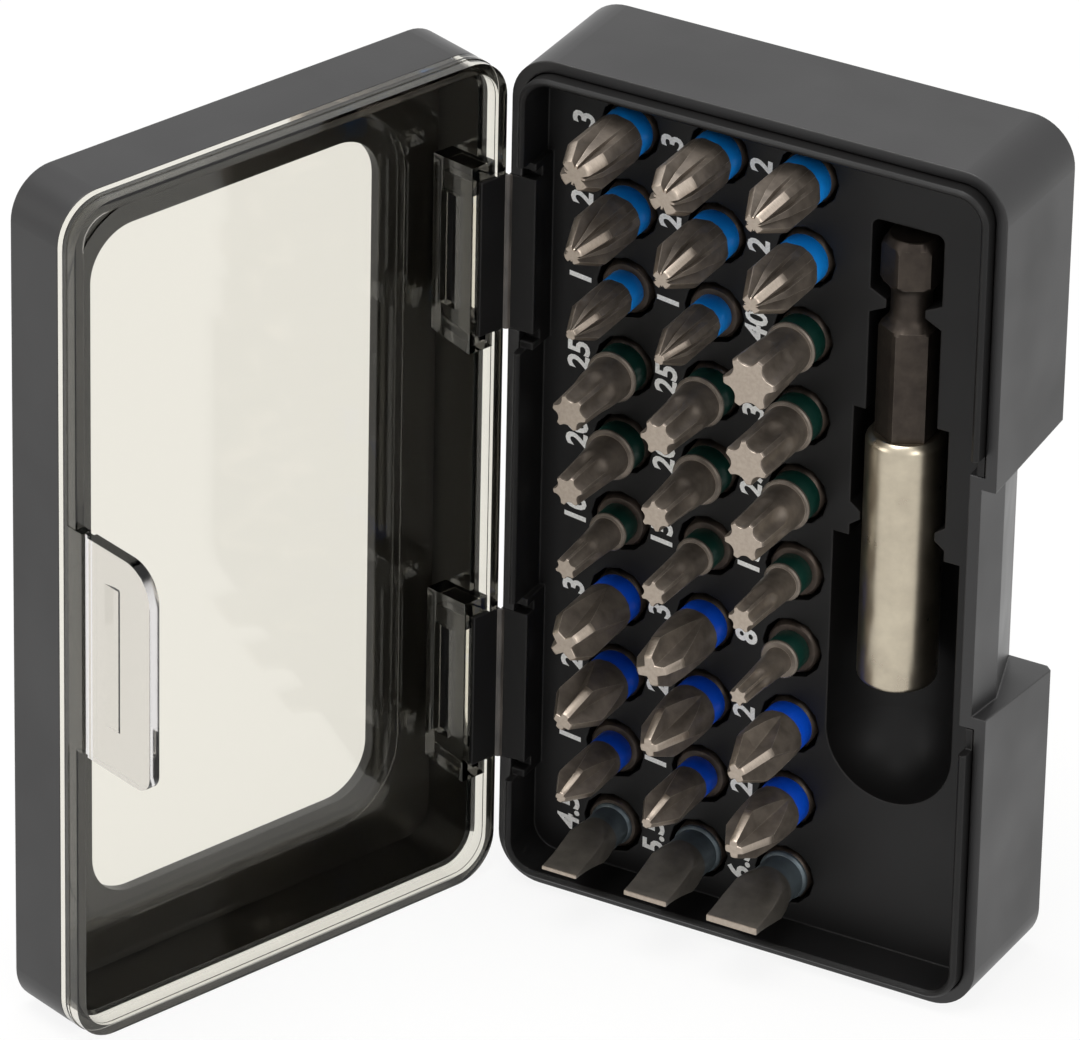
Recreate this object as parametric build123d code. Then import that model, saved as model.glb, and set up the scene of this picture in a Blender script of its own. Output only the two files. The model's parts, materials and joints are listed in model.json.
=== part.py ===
"""Driver bit case: a hinged pocket case with thirty 1/4 inch bits and a magnetic bit holder.

Frame: +Z up, millimetres. The case stands on its end with the lid open. The origin is the
centre of the base shell's lower end face. The bit deck faces -Y, the lid hangs on the -X
edge of the base and turns about a vertical line there.

Case coordinates used below: "across" runs from the hinge-side wall, "height" from the lower
end, and "depth" from the seam plane, positive towards the open side of that half.
"""
from build123d import *
from math import asin, cos, degrees, radians, sin, sqrt, tan
import os

os.makedirs("parts", exist_ok=True)

# ---- joins and cutters -------------------------------------------------------------
OVERRUN = 2.0
SINK = 0.2
TOUCH = 0.01

# ---- case halves -------------------------------------------------------------------
CASE_WIDTH = 62.1
CASE_LENGTH = 107.0
BASE_DEPTH = 17.35
LID_DEPTH = 11.85
CORNER_RADIUS = 5.5
LEAST_CORNER_RADIUS = 0.6
BACK_EDGE_CHAMFER = 0.85
SHELL_WALL = 1.4
SHELL_FLOOR = 1.25
SEAM_GAP = 0.1
WALL_FIT = 0.15
HINGE_OFFSET = 0.27
LID_OPEN_ANGLE = 110.25

# ---- bit tray ----------------------------------------------------------------------
DECK_DEPTH = 4.05
DECK_THICKNESS = 1.4
DECK_LAP = 0.5
RIDGE_THICKNESS = 0.9
RIDGE_HEIGHT = 1.9
RIDGE_ROUND = 0.35
COLUMN_COUNT = 3
FIRST_COLUMN_ACROSS = 12.9
ROW_COUNT = 10
TOP_ROW_MARGIN = 8.2
BOTTOM_ROW_MARGIN = 8.35
SOCKET_DIAMETER = 7.6
SOCKET_WALL = 1.0
SOCKET_FACETS = 12
SOCKET_BLOCK_TRIM = 0.6

# ---- bit holder and its cavity -----------------------------------------------------
HOLDER_SIDE_MARGIN = 14.05
HOLDER_END_MARGIN = 12.3
HOLDER_TO_COLUMN = 12.65
HOLDER_LENGTH = 56.7
HOLDER_DEPTH = 5.5
SLEEVE_LENGTH = 31.7
SLEEVE_DIAMETER = 9.2
SLEEVE_FACETS = 24
SLEEVE_MOUTH_CHAMFER = 0.35
SLEEVE_TOP_CHAMFER = 0.6
SHANK_IN_SLEEVE = 14.0
SHANK_END_CHAMFER = 0.35
SHANK_END_TAPER = 1.1
GROOVE_SETBACK = 5.7
GROOVE_LENGTH = 5.6
GROOVE_DIAMETER = 4.7
GROOVE_FLANK = 1.2
MAGNET_DIAMETER = 5.6
MAGNET_LENGTH = 3.0
RING_WIRE = 0.9
RING_STAND = 0.3
RING_SETBACK = 3.0
RING_SPLIT = 1.6
RING_FACETS = 16
HOLDER_SEAT_GAP = 0.15
SLEEVE_SLOT_WIDTH = 12.0
SLEEVE_SLOT_END_GAP = 2.1
SLEEVE_SLOT_LAP = 6.0
SLEEVE_SLOT_FLOOR_RADIUS = 3.0
SHANK_SLOT_WIDTH = 9.0
SHANK_SLOT_END_GAP = 1.3
SHANK_SLOT_CORNER = 1.0
SHANK_SLOT_STEP = 0.6
FINGER_HOLLOW_RADIUS = 8.0
FINGER_HOLLOW_BELOW = 16.1
FINGER_HOLLOW_ABOVE = 17.2
WELL_WALL = 1.2
NIB_CLEARANCE = 0.1
SHANK_NIB_SETBACK = 9.0
SHANK_NIB_HALF = 1.6
SLEEVE_NIB_RISE = 20.0
SLEEVE_NIB_HALF = 1.6
NIB_TIP_HALF = 0.5

# ---- hinges ------------------------------------------------------------------------
HINGE_HEIGHTS = {"lower": 25.4, "upper": CASE_LENGTH - 25.3}
HINGE_FILM_WIDTH = 19.6
HINGE_BLOCK_WIDTH = 23.7
HINGE_BLOCK_ACROSS = 3.2
HINGE_LEAF_THICKNESS = 1.0
HINGE_FILM_THICKNESS = 0.35
HINGE_AXIS_GAP = 0.08
LEAF_SLOT_HEIGHT = 1.2
LEAF_SLOT_DEPTH = 1.6
LEAF_SLOT_START = 1.0
LEAF_TAPER_START = 0.1
LEAF_TAPER_END = 0.5
POCKET_WALL = 1.0
POCKET_INNER = 3.75
POCKET_MOUTH = 0.4
POCKET_DEPTH = 6.7
POCKET_TAPER = 1.3
CLIP_FIT = 0.08
TONGUE_START = 0.5
BARB_HEIGHT = 14.2
BARB_START = 3.2
BARB_LENGTH = 2.4
BARB_REACH = 0.7
BARB_FIT = 0.1

# ---- lid ---------------------------------------------------------------------------
COVER_FLOOR = 1.3
COVER_WALL = 1.15
RIM_BAND = 2.8
RIM_STEP = 1.4
RIM_STEP_INSET = 0.12
INSERT_FIT = 0.05
INSERT_WALL = 0.8
INSERT_FLOOR = 0.95
WINDOW_MARGIN_SIDE = 10.3
WINDOW_MARGIN_END = 10.5
WINDOW_RADIUS = 6.0
PANE_STEP = 3.2
PANE_RISE = 0.3

# ---- latch -------------------------------------------------------------------------
LATCH_HEIGHT = CASE_LENGTH / 2
TAB_WIDTH = 28.1
TAB_LENGTH = 13.15
TAB_LOWER_CORNER = 2.2
TAB_UPPER_CORNER = 4.3
TAB_ROOT = 1.2
TAB_NECK_END = 2.2
TAB_NECK_THICKNESS = 0.6
TAB_JOINT_GAP = 0.15
CATCH_START = 4.4
CATCH_END = 7.1
CATCH_WIDTH = 18.0
CATCH_HEIGHT = 0.33
CATCH_FALL = 0.5
RECESS_DEPTH = 1.8
RECESS_WIDTH = 29.3
RECESS_BACK_WIDTH = 32.7
RECESS_BEND = 6.2
RECESS_SLANT = 19.4
RECESS_WALL = 1.5
RIDGE_BREAK_WIDTH = 37.8
RIDGE_BREAK_ACROSS = 6.0

# ---- driver bits -------------------------------------------------------------------
HEX_SIZE = 6.35
BIT_LENGTH = 25.0
BIT_SEAT_GAP = 0.1
BIT_SHANK_LENGTH = 12.2
HEAD_SINK = 0.2
SHANK_CHAMFER = 0.3
LARGE_HEAD_RADIUS = 3.0
SMALL_HEAD_RADIUS = 2.3
RING_LENGTH = 2.2
TIP_CHAMFER = 0.22
TIP_END_SHARE = 0.86
CROSS_HALF_ANGLE = 26.5
FLUTE_HALF_ANGLE = 55.0
FLUTE_END_HALF_ANGLE = 7.0
PH_FLUTE_LENGTH = 9.6
PZ_FLUTE_LENGTH = 8.8
LAND_SPREAD = 1.15
RIB_HALF_ANGLE = 18.0
RIB_TIP_HALF_ANGLE = 5.0
RIB_HEIGHT_SHARE = 0.45
SMALL_STAR_RADIUS = 1.9
STAR_VALLEY_SHARE = 0.73
STAR_CREST_HALF_ANGLE = 9.0
STAR_HEAD_LENGTH = 1.6
STAR_SHOULDER_LENGTH = 0.5
STAR_BODY_STEP = 0.35
STAR_FLUTE_BASE = 3.0
STAR_FLUTE_SHARE = 0.8
STAR_RUN_OUT = 2.2
STAR_TIP_SHARE = 0.9
STAR_TIP_LENGTH = 0.4
SLOTTED_HEAD_RADIUS = 2.75
SLOTTED_COLLAR = 0.3
COLLAR_LENGTH = 0.1
COLLAR_FALL = 0.5
SLOTTED_NECK_LENGTH = 3.2
SMALL_BLADE_WIDTH = 5.0
EDGE_CORNER = 0.1
CORNER_STEPS = (0.15, 0.5, 0.85)

# Each section of a blade: its share of the way to the full width, its half thickness and
# corner radius as shares of the neck's radius, and how far it lies beyond the neck.
BLADE_SECTIONS = ((0.0, 0.95, 1.0, 0.0), (0.8, 0.74, 0.35, 1.3), (1.0, 0.6, 0.11, 2.4))

BIT_COLUMNS = (
    ("pz3", "pz2", "pz1", "t25", "t20", "t10", "ph3", "ph2", "ph1", "sl45"),
    ("pz3", "pz2", "pz1", "t25", "t20", "t15", "ph3", "ph2", "ph1", "sl55"),
    ("pz2", "pz2", "t40", "t30", "t27", "t15", "t8", "ph2", "ph2", "sl65"),
)
STAR_DIAMETER = {
    "t40": 6.65, "t30": 5.52, "t27": 4.98, "t25": 4.43,
    "t20": 3.86, "t15": 3.27, "t10": 2.74, "t8": 2.31,
}
CROSS_TIP_RADIUS = {"3": 1.95, "2": 1.2, "1": 0.7}
LAND_HALF_WIDTH = {
    "ph3": 0.45, "ph2": 0.42, "ph1": 0.3, "pz3": 0.62, "pz2": 0.46, "pz1": 0.33,
}
BLADE = {"sl45": (4.5, 0.6), "sl55": (5.5, 0.8), "sl65": (6.5, 1.2)}

# ---- places worked out from the sizes ----------------------------------------------
SEAM_Y = -BASE_DEPTH / 2
BASE_X = -CASE_WIDTH / 2
HINGE_X = BASE_X - HINGE_OFFSET
HINGE_Y = SEAM_Y - SEAM_GAP / 2
MID_ACROSS = CASE_WIDTH / 2
MID_HEIGHT = CASE_LENGTH / 2
BASE_SIDE = -1
LID_SIDE = 1
SHANK_TOP = CASE_LENGTH - HOLDER_END_MARGIN
HOLDER_BOTTOM = SHANK_TOP - HOLDER_LENGTH
HOLDER_ACROSS = CASE_WIDTH - HOLDER_SIDE_MARGIN
GROOVE_TOP = SHANK_TOP - GROOVE_SETBACK
GROOVE_BOTTOM = GROOVE_TOP - GROOVE_LENGTH
SLEEVE_SLOT_TOP = HOLDER_BOTTOM + SLEEVE_LENGTH + SLEEVE_SLOT_END_GAP
SHANK_SLOT_TOP = SHANK_TOP + SHANK_SLOT_END_GAP
FINGER_HOLLOW_BOTTOM = HOLDER_BOTTOM - FINGER_HOLLOW_BELOW
FINGER_HOLLOW_TOP = HOLDER_BOTTOM + FINGER_HOLLOW_ABOVE
SHANK_NIB_HEIGHT = SHANK_TOP - SHANK_NIB_SETBACK
SLEEVE_NIB_HEIGHT = HOLDER_BOTTOM + SLEEVE_NIB_RISE
TOP_ROW_HEIGHT = CASE_LENGTH - TOP_ROW_MARGIN
ROW_PITCH = (TOP_ROW_HEIGHT - BOTTOM_ROW_MARGIN) / (ROW_COUNT - 1)
COLUMN_PITCH = (HOLDER_ACROSS - HOLDER_TO_COLUMN - FIRST_COLUMN_ACROSS) / (COLUMN_COUNT - 1)
COLUMNS_ACROSS = [FIRST_COLUMN_ACROSS + COLUMN_PITCH * column for column in range(COLUMN_COUNT)]
BIT_BOTTOM_DEPTH = -BASE_DEPTH + SHELL_FLOOR + BIT_SEAT_GAP
RIM_INSIDE = SHELL_WALL + WALL_FIT


# ---- helpers -----------------------------------------------------------------------
def prism(outline, near, far, side):
    """Extrude an across/height outline between two depths of one case half."""
    start = Plane.XZ.offset(-side * near)
    return extrude(start * outline, amount=-side * (far - near))


def block(across, height, near, far, side):
    """A plain box between two across values, two heights and two depths."""
    centre = ((across[0] + across[1]) / 2, (height[0] + height[1]) / 2)
    outline = Pos(*centre) * Rectangle(across[1] - across[0], height[1] - height[0])
    return prism(outline, near, far, side)


def case_outline(inset):
    """The rounded outline of the case, moved inwards by an inset."""
    shape = RectangleRounded(
        CASE_WIDTH - 2 * inset, CASE_LENGTH - 2 * inset,
        max(CORNER_RADIUS - inset, LEAST_CORNER_RADIUS),
    )
    return Pos(MID_ACROSS, MID_HEIGHT) * shape


def edges_at_depth(solid, depth, side):
    """Every edge that lies flat at one depth."""
    level = side * depth
    return solid.edges().filter_by_position(Axis.Y, level - TOUCH, level + TOUCH)


def place_base(solid):
    """Move a piece from case coordinates to its place in the base."""
    return Pos(BASE_X, SEAM_Y, 0) * solid


def place_lid(solid):
    """Move a piece from case coordinates to its place in the open lid."""
    turn = Rot(0, 0, -LID_OPEN_ANGLE)
    return Pos(HINGE_X, HINGE_Y, 0) * turn * Pos(HINGE_OFFSET, -SEAM_GAP / 2, 0) * solid


def save(solid, name):
    """Write one node."""
    solid.label = name
    export_step(solid, f"parts/{name}.step")


# ---- base --------------------------------------------------------------------------
def latch_recess(widen, step):
    """The room the latch tab and a fingertip need in the free wall, grown by a step."""
    wall = CASE_WIDTH - RECESS_DEPTH - step
    slant = tan(radians(RECESS_SLANT))
    back = wall - (BASE_DEPTH - RECESS_BEND) * slant
    beyond = CASE_WIDTH + OVERRUN
    deep = BASE_DEPTH + OVERRUN
    profile = Polyline(
        (wall, -OVERRUN), (wall, RECESS_BEND), (back - OVERRUN * slant, deep),
        (beyond, deep), (beyond, -OVERRUN), close=True,
    )
    slab = extrude(make_face(profile), amount=CASE_LENGTH)
    flare = (RECESS_BACK_WIDTH - RECESS_WIDTH) / 2 / BASE_DEPTH
    half = RECESS_WIDTH / 2 + widen
    front = half - OVERRUN * flare
    rear = half + deep * flare
    sides = Polyline(
        (-OVERRUN, LATCH_HEIGHT - front), (-OVERRUN, LATCH_HEIGHT + front),
        (deep, LATCH_HEIGHT + rear), (deep, LATCH_HEIGHT - rear), close=True,
    )
    band = extrude(Plane.YZ * make_face(sides), amount=beyond)
    return slab & band


def hinge_span(name, width):
    """The two heights that bound a hinge feature of one width."""
    middle = HINGE_HEIGHTS[name]
    return (middle - width / 2, middle + width / 2)


def leaf_notch(name, side):
    """The notch that one hinge leaf needs in the outer wall."""
    span = hinge_span(name, HINGE_FILM_WIDTH + 2 * CLIP_FIT)
    across = (-OVERRUN, SHELL_WALL + TOUCH)
    return block(across, span, -HINGE_LEAF_THICKNESS - CLIP_FIT, OVERRUN, side)


def make_base_shell():
    """The outer moulding: five walls, the latch recess and the notches for the leaves."""
    shell = prism(case_outline(0), -BASE_DEPTH, 0, BASE_SIDE)
    shell = chamfer(edges_at_depth(shell, -BASE_DEPTH, BASE_SIDE), BACK_EDGE_CHAMFER)
    hollow = prism(case_outline(SHELL_WALL), SHELL_FLOOR - BASE_DEPTH, OVERRUN, BASE_SIDE)
    hollow -= latch_recess(RECESS_WALL, RECESS_WALL)
    shell -= hollow
    shell -= latch_recess(0, 0)
    for name in HINGE_HEIGHTS:
        shell -= leaf_notch(name, BASE_SIDE)
    return shell


def holder_nibs(middle, tip_gap, slot_width, half, floor):
    """A facing pair of gripping nibs on the walls of the holder's slot."""
    pair = []
    for way in (-1, 1):
        root = HOLDER_ACROSS + way * (slot_width / 2 + SINK)
        tip = HOLDER_ACROSS + way * tip_gap / 2
        outline = Polyline(
            (root, middle - half), (tip, middle - NIB_TIP_HALF),
            (tip, middle + NIB_TIP_HALF), (root, middle + half), close=True,
        )
        pair.append(prism(make_face(outline), floor, -DECK_DEPTH, BASE_SIDE))
    return pair


def holder_cavity(grow):
    """The finger hollow, sleeve slot and shank slot as one cutter, grown by a wall."""
    radius = FINGER_HOLLOW_RADIUS + grow
    centre = FINGER_HOLLOW_BOTTOM + FINGER_HOLLOW_RADIUS
    top = -DECK_DEPTH + DECK_LAP - grow
    trough = Pos(HOLDER_ACROSS, DECK_DEPTH, centre) * Sphere(radius)
    trough += Pos(HOLDER_ACROSS, DECK_DEPTH, centre) * Cylinder(
        radius, FINGER_HOLLOW_TOP - centre + grow, align=(Align.CENTER, Align.CENTER, Align.MIN)
    )
    span = (FINGER_HOLLOW_BOTTOM - grow - OVERRUN, FINGER_HOLLOW_TOP + grow + OVERRUN)
    trough &= block((0, CASE_WIDTH), span, -BASE_DEPTH, -DECK_DEPTH, BASE_SIDE)
    mouth = Pos(HOLDER_ACROSS, (centre + FINGER_HOLLOW_TOP + grow) / 2) * Rectangle(
        2 * radius, FINGER_HOLLOW_TOP + grow - centre
    )
    mouth += Pos(HOLDER_ACROSS, centre) * Circle(radius)
    cavity = trough + prism(mouth, -DECK_DEPTH, top, BASE_SIDE)
    sleeve_floor = -(HOLDER_DEPTH + SLEEVE_DIAMETER / 2 + HOLDER_SEAT_GAP) - grow
    half = SLEEVE_SLOT_WIDTH / 2 + grow
    slot = block(
        (HOLDER_ACROSS - half, HOLDER_ACROSS + half),
        (FINGER_HOLLOW_TOP - SLEEVE_SLOT_LAP, SLEEVE_SLOT_TOP + grow), sleeve_floor, top, BASE_SIDE,
    )
    rounded = [
        edge for edge in slot.edges().filter_by(Axis.Z)
        if abs(edge.center().Y + sleeve_floor) < TOUCH
    ]
    cavity += fillet(rounded, SLEEVE_SLOT_FLOOR_RADIUS)
    half = SHANK_SLOT_WIDTH / 2 + grow
    shank_slot = block(
        (HOLDER_ACROSS - half, HOLDER_ACROSS + half),
        (SLEEVE_SLOT_TOP - OVERRUN, SHANK_SLOT_TOP + grow), sleeve_floor + SHANK_SLOT_STEP,
        top, BASE_SIDE,
    )
    corners = [
        edge for edge in shank_slot.edges().filter_by(Axis.Y)
        if edge.center().Z > SHANK_SLOT_TOP + grow - TOUCH
    ]
    cavity += fillet(corners, SHANK_SLOT_CORNER + grow)
    return cavity


def make_bit_tray():
    """The moulded tray: upstand, deck, thirty sockets, holder well and hinge leaves."""
    upstand = prism(case_outline(RIM_INSIDE), -DECK_DEPTH - DECK_THICKNESS, RIDGE_HEIGHT, BASE_SIDE)
    well = prism(
        case_outline(RIM_INSIDE + RIDGE_THICKNESS), -DECK_DEPTH, RIDGE_HEIGHT + OVERRUN, BASE_SIDE
    )
    tray = upstand - well
    tray = chamfer(edges_at_depth(tray, RIDGE_HEIGHT, BASE_SIDE), RIDGE_ROUND)
    half = RIDGE_BREAK_WIDTH / 2
    tray -= block(
        (CASE_WIDTH - RIDGE_BREAK_ACROSS, CASE_WIDTH), (LATCH_HEIGHT - half, LATCH_HEIGHT + half),
        0, RIDGE_HEIGHT + OVERRUN, BASE_SIDE,
    )
    for name in HINGE_HEIGHTS:
        span = hinge_span(name, HINGE_BLOCK_WIDTH)
        tray -= block((0, HINGE_BLOCK_ACROSS), span, 0, RIDGE_HEIGHT + OVERRUN, BASE_SIDE)
        tray += block((RIM_INSIDE, HINGE_BLOCK_ACROSS), span, -DECK_DEPTH - DECK_LAP, 0, BASE_SIDE)
    bottom = -BASE_DEPTH + SHELL_FLOOR + WALL_FIT
    low = TOP_ROW_HEIGHT - (ROW_COUNT - 1) * ROW_PITCH
    reach = SOCKET_DIAMETER / 2 + SOCKET_WALL
    for across in COLUMNS_ACROSS:
        tray += block(
            (across - reach, across + reach),
            (low - reach, TOP_ROW_HEIGHT + reach - SOCKET_BLOCK_TRIM),
            bottom, -DECK_DEPTH - DECK_LAP, BASE_SIDE,
        )
    tray += holder_cavity(WELL_WALL) & block(
        (0, CASE_WIDTH), (0, CASE_LENGTH), -BASE_DEPTH, -DECK_DEPTH - DECK_LAP, BASE_SIDE
    )
    tray -= holder_cavity(0)
    floor = -(HOLDER_DEPTH + SLEEVE_DIAMETER / 2 + HOLDER_SEAT_GAP) - SINK
    gap = GROOVE_DIAMETER + 2 * NIB_CLEARANCE
    for nib in holder_nibs(SHANK_NIB_HEIGHT, gap, SHANK_SLOT_WIDTH, SHANK_NIB_HALF, floor):
        tray += nib
    gap = SLEEVE_DIAMETER + 2 * NIB_CLEARANCE
    for nib in holder_nibs(SLEEVE_NIB_HEIGHT, gap, SLEEVE_SLOT_WIDTH, SLEEVE_NIB_HALF, floor):
        tray += nib
    sockets = []
    for across in COLUMNS_ACROSS:
        for row in range(ROW_COUNT):
            centre = Pos(across, TOP_ROW_HEIGHT - row * ROW_PITCH)
            sockets.append(centre * RegularPolygon(SOCKET_DIAMETER / 2, SOCKET_FACETS))
    tray -= prism(Sketch() + sockets, bottom - OVERRUN, -DECK_DEPTH + OVERRUN, BASE_SIDE)
    tray -= latch_recess(RECESS_WALL + WALL_FIT, RECESS_WALL + WALL_FIT)
    for name in HINGE_HEIGHTS:
        tray += hinge_leaf(name, RIM_INSIDE + SINK, BASE_SIDE)
        for way in (-1, 1):
            middle = HINGE_HEIGHTS[name] + way * (HINGE_FILM_WIDTH + LEAF_SLOT_HEIGHT) / 2
            span = (middle - LEAF_SLOT_HEIGHT / 2, middle + LEAF_SLOT_HEIGHT / 2)
            across = (LEAF_SLOT_START, HINGE_BLOCK_ACROSS + OVERRUN)
            tray -= block(across, span, -LEAF_SLOT_DEPTH, OVERRUN, BASE_SIDE)
    return tray


# ---- hinge -------------------------------------------------------------------------
def hinge_leaf(name, inner, side):
    """A leaf that thins to the film and stops just short of the fold line."""
    start = -HINGE_OFFSET + HINGE_AXIS_GAP
    film = -HINGE_FILM_THICKNESS
    profile = Polyline(
        (start, 0), (start, side * film), (LEAF_TAPER_START, side * film),
        (LEAF_TAPER_END, -side * HINGE_LEAF_THICKNESS), (inner, -side * HINGE_LEAF_THICKNESS),
        (inner, 0), close=True,
    )
    low, high = hinge_span(name, HINGE_FILM_WIDTH)
    return Pos(0, 0, low) * extrude(make_face(profile), amount=high - low)


def make_hinge_clip(name):
    """The lid half of a film hinge: a leaf, and a barbed tongue that snaps in its pocket."""
    outer = POCKET_INNER - CLIP_FIT
    clip = hinge_leaf(name, outer, LID_SIDE)
    low, high = hinge_span(name, HINGE_FILM_WIDTH)
    root = SHELL_WALL + CLIP_FIT
    deep = -POCKET_MOUTH - POCKET_DEPTH + POCKET_WALL + CLIP_FIT
    taper = POCKET_TAPER / 2
    profile = Polyline(
        (-TONGUE_START, low), (-TONGUE_START, high), (deep, high - taper), (deep, low + taper),
        close=True,
    )
    tongue = extrude(Plane.YZ.offset(root) * make_face(profile), amount=outer - root)
    middle = (low + high) / 2
    top = -BARB_START
    barb = Polyline(
        (outer - SINK, top), (outer + BARB_REACH, top), (outer - SINK, top - BARB_LENGTH + SINK),
        close=True,
    )
    catch = Pos(0, 0, middle - BARB_HEIGHT / 2) * extrude(make_face(barb), amount=BARB_HEIGHT)
    return clip + tongue + catch


# ---- lid ---------------------------------------------------------------------------
def window_outline(grow):
    """The rounded window of the lid, moved outwards by a margin."""
    shape = RectangleRounded(
        CASE_WIDTH - 2 * WINDOW_MARGIN_SIDE + 2 * grow,
        CASE_LENGTH - 2 * WINDOW_MARGIN_END + 2 * grow, WINDOW_RADIUS + grow,
    )
    return Pos(MID_ACROSS, MID_HEIGHT) * shape


def make_lid_cover():
    """The black cover: a shallow dish with a big window through its floor."""
    cover = prism(case_outline(0), -LID_DEPTH, -RIM_BAND, LID_SIDE)
    cover = chamfer(edges_at_depth(cover, -LID_DEPTH, LID_SIDE), BACK_EDGE_CHAMFER)
    cover -= prism(case_outline(COVER_WALL), COVER_FLOOR - LID_DEPTH, 0, LID_SIDE)
    cover -= prism(window_outline(0), -LID_DEPTH - OVERRUN, 0, LID_SIDE)
    return cover


def hinge_pocket(name):
    """The walls of one hinge pocket, and the room inside them."""
    middle = HINGE_HEIGHTS[name]
    near = -POCKET_MOUTH
    deep = near - POCKET_DEPTH

    def body(half_near, half_deep, start, end, stop):
        profile = Polyline(
            (near, middle - half_near), (near, middle + half_near),
            (stop, middle + half_deep), (stop, middle - half_deep), close=True,
        )
        return extrude(Plane.YZ.offset(start) * make_face(profile), amount=end - start)

    half = HINGE_BLOCK_WIDTH / 2
    taper = POCKET_TAPER / 2
    walls = body(half, half - taper, SHELL_WALL - SINK, POCKET_INNER + POCKET_WALL, deep)
    room_half = HINGE_FILM_WIDTH / 2 + CLIP_FIT
    room = body(room_half, room_half - taper, SHELL_WALL, POCKET_INNER, deep + POCKET_WALL)
    mouth = block(
        (SHELL_WALL, POCKET_INNER), (middle - room_half, middle + room_half),
        near - SINK, OVERRUN, LID_SIDE,
    )
    window_half = BARB_HEIGHT / 2 + BARB_FIT
    window = block(
        (POCKET_INNER - SINK, POCKET_INNER + POCKET_WALL + OVERRUN),
        (middle - window_half, middle + window_half),
        -BARB_START - BARB_LENGTH - BARB_FIT, -BARB_START + BARB_FIT, LID_SIDE,
    )
    return walls, room + mouth + window


def make_clear_insert():
    """The clear tray in the lid: window pane, walls, rim, latch root and hinge pockets."""
    skin = COVER_WALL + INSERT_FIT
    back = COVER_FLOOR + INSERT_FIT - LID_DEPTH
    insert = prism(case_outline(skin), back, -RIM_BAND + INSERT_FIT, LID_SIDE)
    insert += prism(case_outline(0), -RIM_BAND + INSERT_FIT, -RIM_STEP, LID_SIDE)
    insert += prism(case_outline(RIM_STEP_INSET), -RIM_STEP - TOUCH, 0, LID_SIDE)
    inner = prism(case_outline(skin + INSERT_WALL), back + INSERT_FLOOR, -RIM_BAND, LID_SIDE)
    inner += prism(case_outline(SHELL_WALL), -RIM_BAND - TOUCH, OVERRUN, LID_SIDE)
    insert -= inner
    pane = back + INSERT_FLOOR
    insert += prism(window_outline(PANE_STEP), pane - SINK, pane + PANE_RISE, LID_SIDE)
    for name in HINGE_HEIGHTS:
        walls, room = hinge_pocket(name)
        insert += walls
        insert -= room
        insert -= leaf_notch(name, LID_SIDE)
    half = TAB_WIDTH / 2
    insert += block(
        (CASE_WIDTH - SHELL_WALL, CASE_WIDTH), (LATCH_HEIGHT - half, LATCH_HEIGHT + half),
        -RIM_BAND / 2, TAB_ROOT, LID_SIDE,
    )
    return insert


def make_latch_tab():
    """The flexing tab: a thin neck, a plate with two different corners and a catch rib."""
    inner = CASE_WIDTH - SHELL_WALL
    half = TAB_WIDTH / 2
    plate = block(
        (inner, CASE_WIDTH), (LATCH_HEIGHT - half, LATCH_HEIGHT + half),
        TAB_NECK_END, TAB_LENGTH, LID_SIDE,
    )
    tips = [
        edge for edge in plate.edges().filter_by(Axis.X) if edge.center().Y > TAB_LENGTH - TOUCH
    ]
    lower, upper = sorted(tips, key=lambda edge: edge.center().Z)
    plate = fillet(upper, TAB_UPPER_CORNER)
    tips = [
        edge for edge in plate.edges().filter_by(Axis.X)
        if edge.center().Y > TAB_LENGTH - TOUCH and edge.center().Z < LATCH_HEIGHT
    ]
    plate = fillet(tips, TAB_LOWER_CORNER)
    middle = CASE_WIDTH - SHELL_WALL / 2
    neck = TAB_NECK_THICKNESS / 2
    plate += block(
        (middle - neck, middle + neck), (LATCH_HEIGHT - half, LATCH_HEIGHT + half),
        TAB_ROOT + TAB_JOINT_GAP, TAB_NECK_END + SINK, LID_SIDE,
    )
    span = CATCH_WIDTH / 2
    crest = (CATCH_START + CATCH_END) / 2
    rib = Polyline(
        (inner + SINK, CATCH_START), (inner, CATCH_START), (inner - CATCH_HEIGHT, crest),
        (inner - CATCH_HEIGHT, CATCH_END - CATCH_FALL), (inner, CATCH_END), (inner + SINK, CATCH_END),
        close=True,
    )
    catch = Pos(0, 0, LATCH_HEIGHT - span) * extrude(make_face(rib), amount=2 * span)
    return plate + catch


# ---- driver bits -------------------------------------------------------------------
def flat_face(points):
    """A flat face with these corners."""
    return Face(Wire.make_polygon(points, close=True))


def skinned(sections):
    """A flat-sided solid through sections, given as (outline points, height) going up."""
    loops = [[(x, y, height) for x, y in outline] for outline, height in sections]
    faces = [flat_face(loops[0][::-1]), flat_face(loops[-1])]
    for low, high in zip(loops, loops[1:]):
        for near in range(len(low)):
            far = (near + 1) % len(low)
            faces.append(flat_face((low[near], low[far], high[far])))
            faces.append(flat_face((low[near], high[far], high[near])))
    return Solid(Shell(faces)).clean()


def polar(points):
    """Outline points from (angle in degrees, radius) pairs."""
    return [
        (radius * cos(radians(angle)), radius * sin(radians(angle))) for angle, radius in points
    ]


def round_outline(radius, angles):
    """A round outline with its corners at these angles."""
    return polar([(angle, radius) for angle in angles])


def hexagon_outline(size, limit=1e3):
    """Twelve points of a hexagon, its corners left and right, cut to a round limit."""
    reach = size / sqrt(3)
    return polar([
        (30 * step, min(reach if step % 2 == 0 else size / 2, limit)) for step in range(12)
    ])


def hex_rod(bottom, top, chamfer_size):
    """A hexagon rod with chamfered ends, corners to the left and right."""
    full = hexagon_outline(HEX_SIZE)[::2]
    small = hexagon_outline(HEX_SIZE - 2 * chamfer_size)[::2]
    return skinned((
        (small, bottom), (full, bottom + chamfer_size), (full, top),
    ))


def flute_floor(land, radius):
    """How far from the axis a flute's floor lies where the wing's land has a half width."""
    lean = FLUTE_HALF_ANGLE - 45 + degrees(asin(land / radius))
    return radius * sin(radians(lean)) / sin(radians(FLUTE_HALF_ANGLE))


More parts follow.
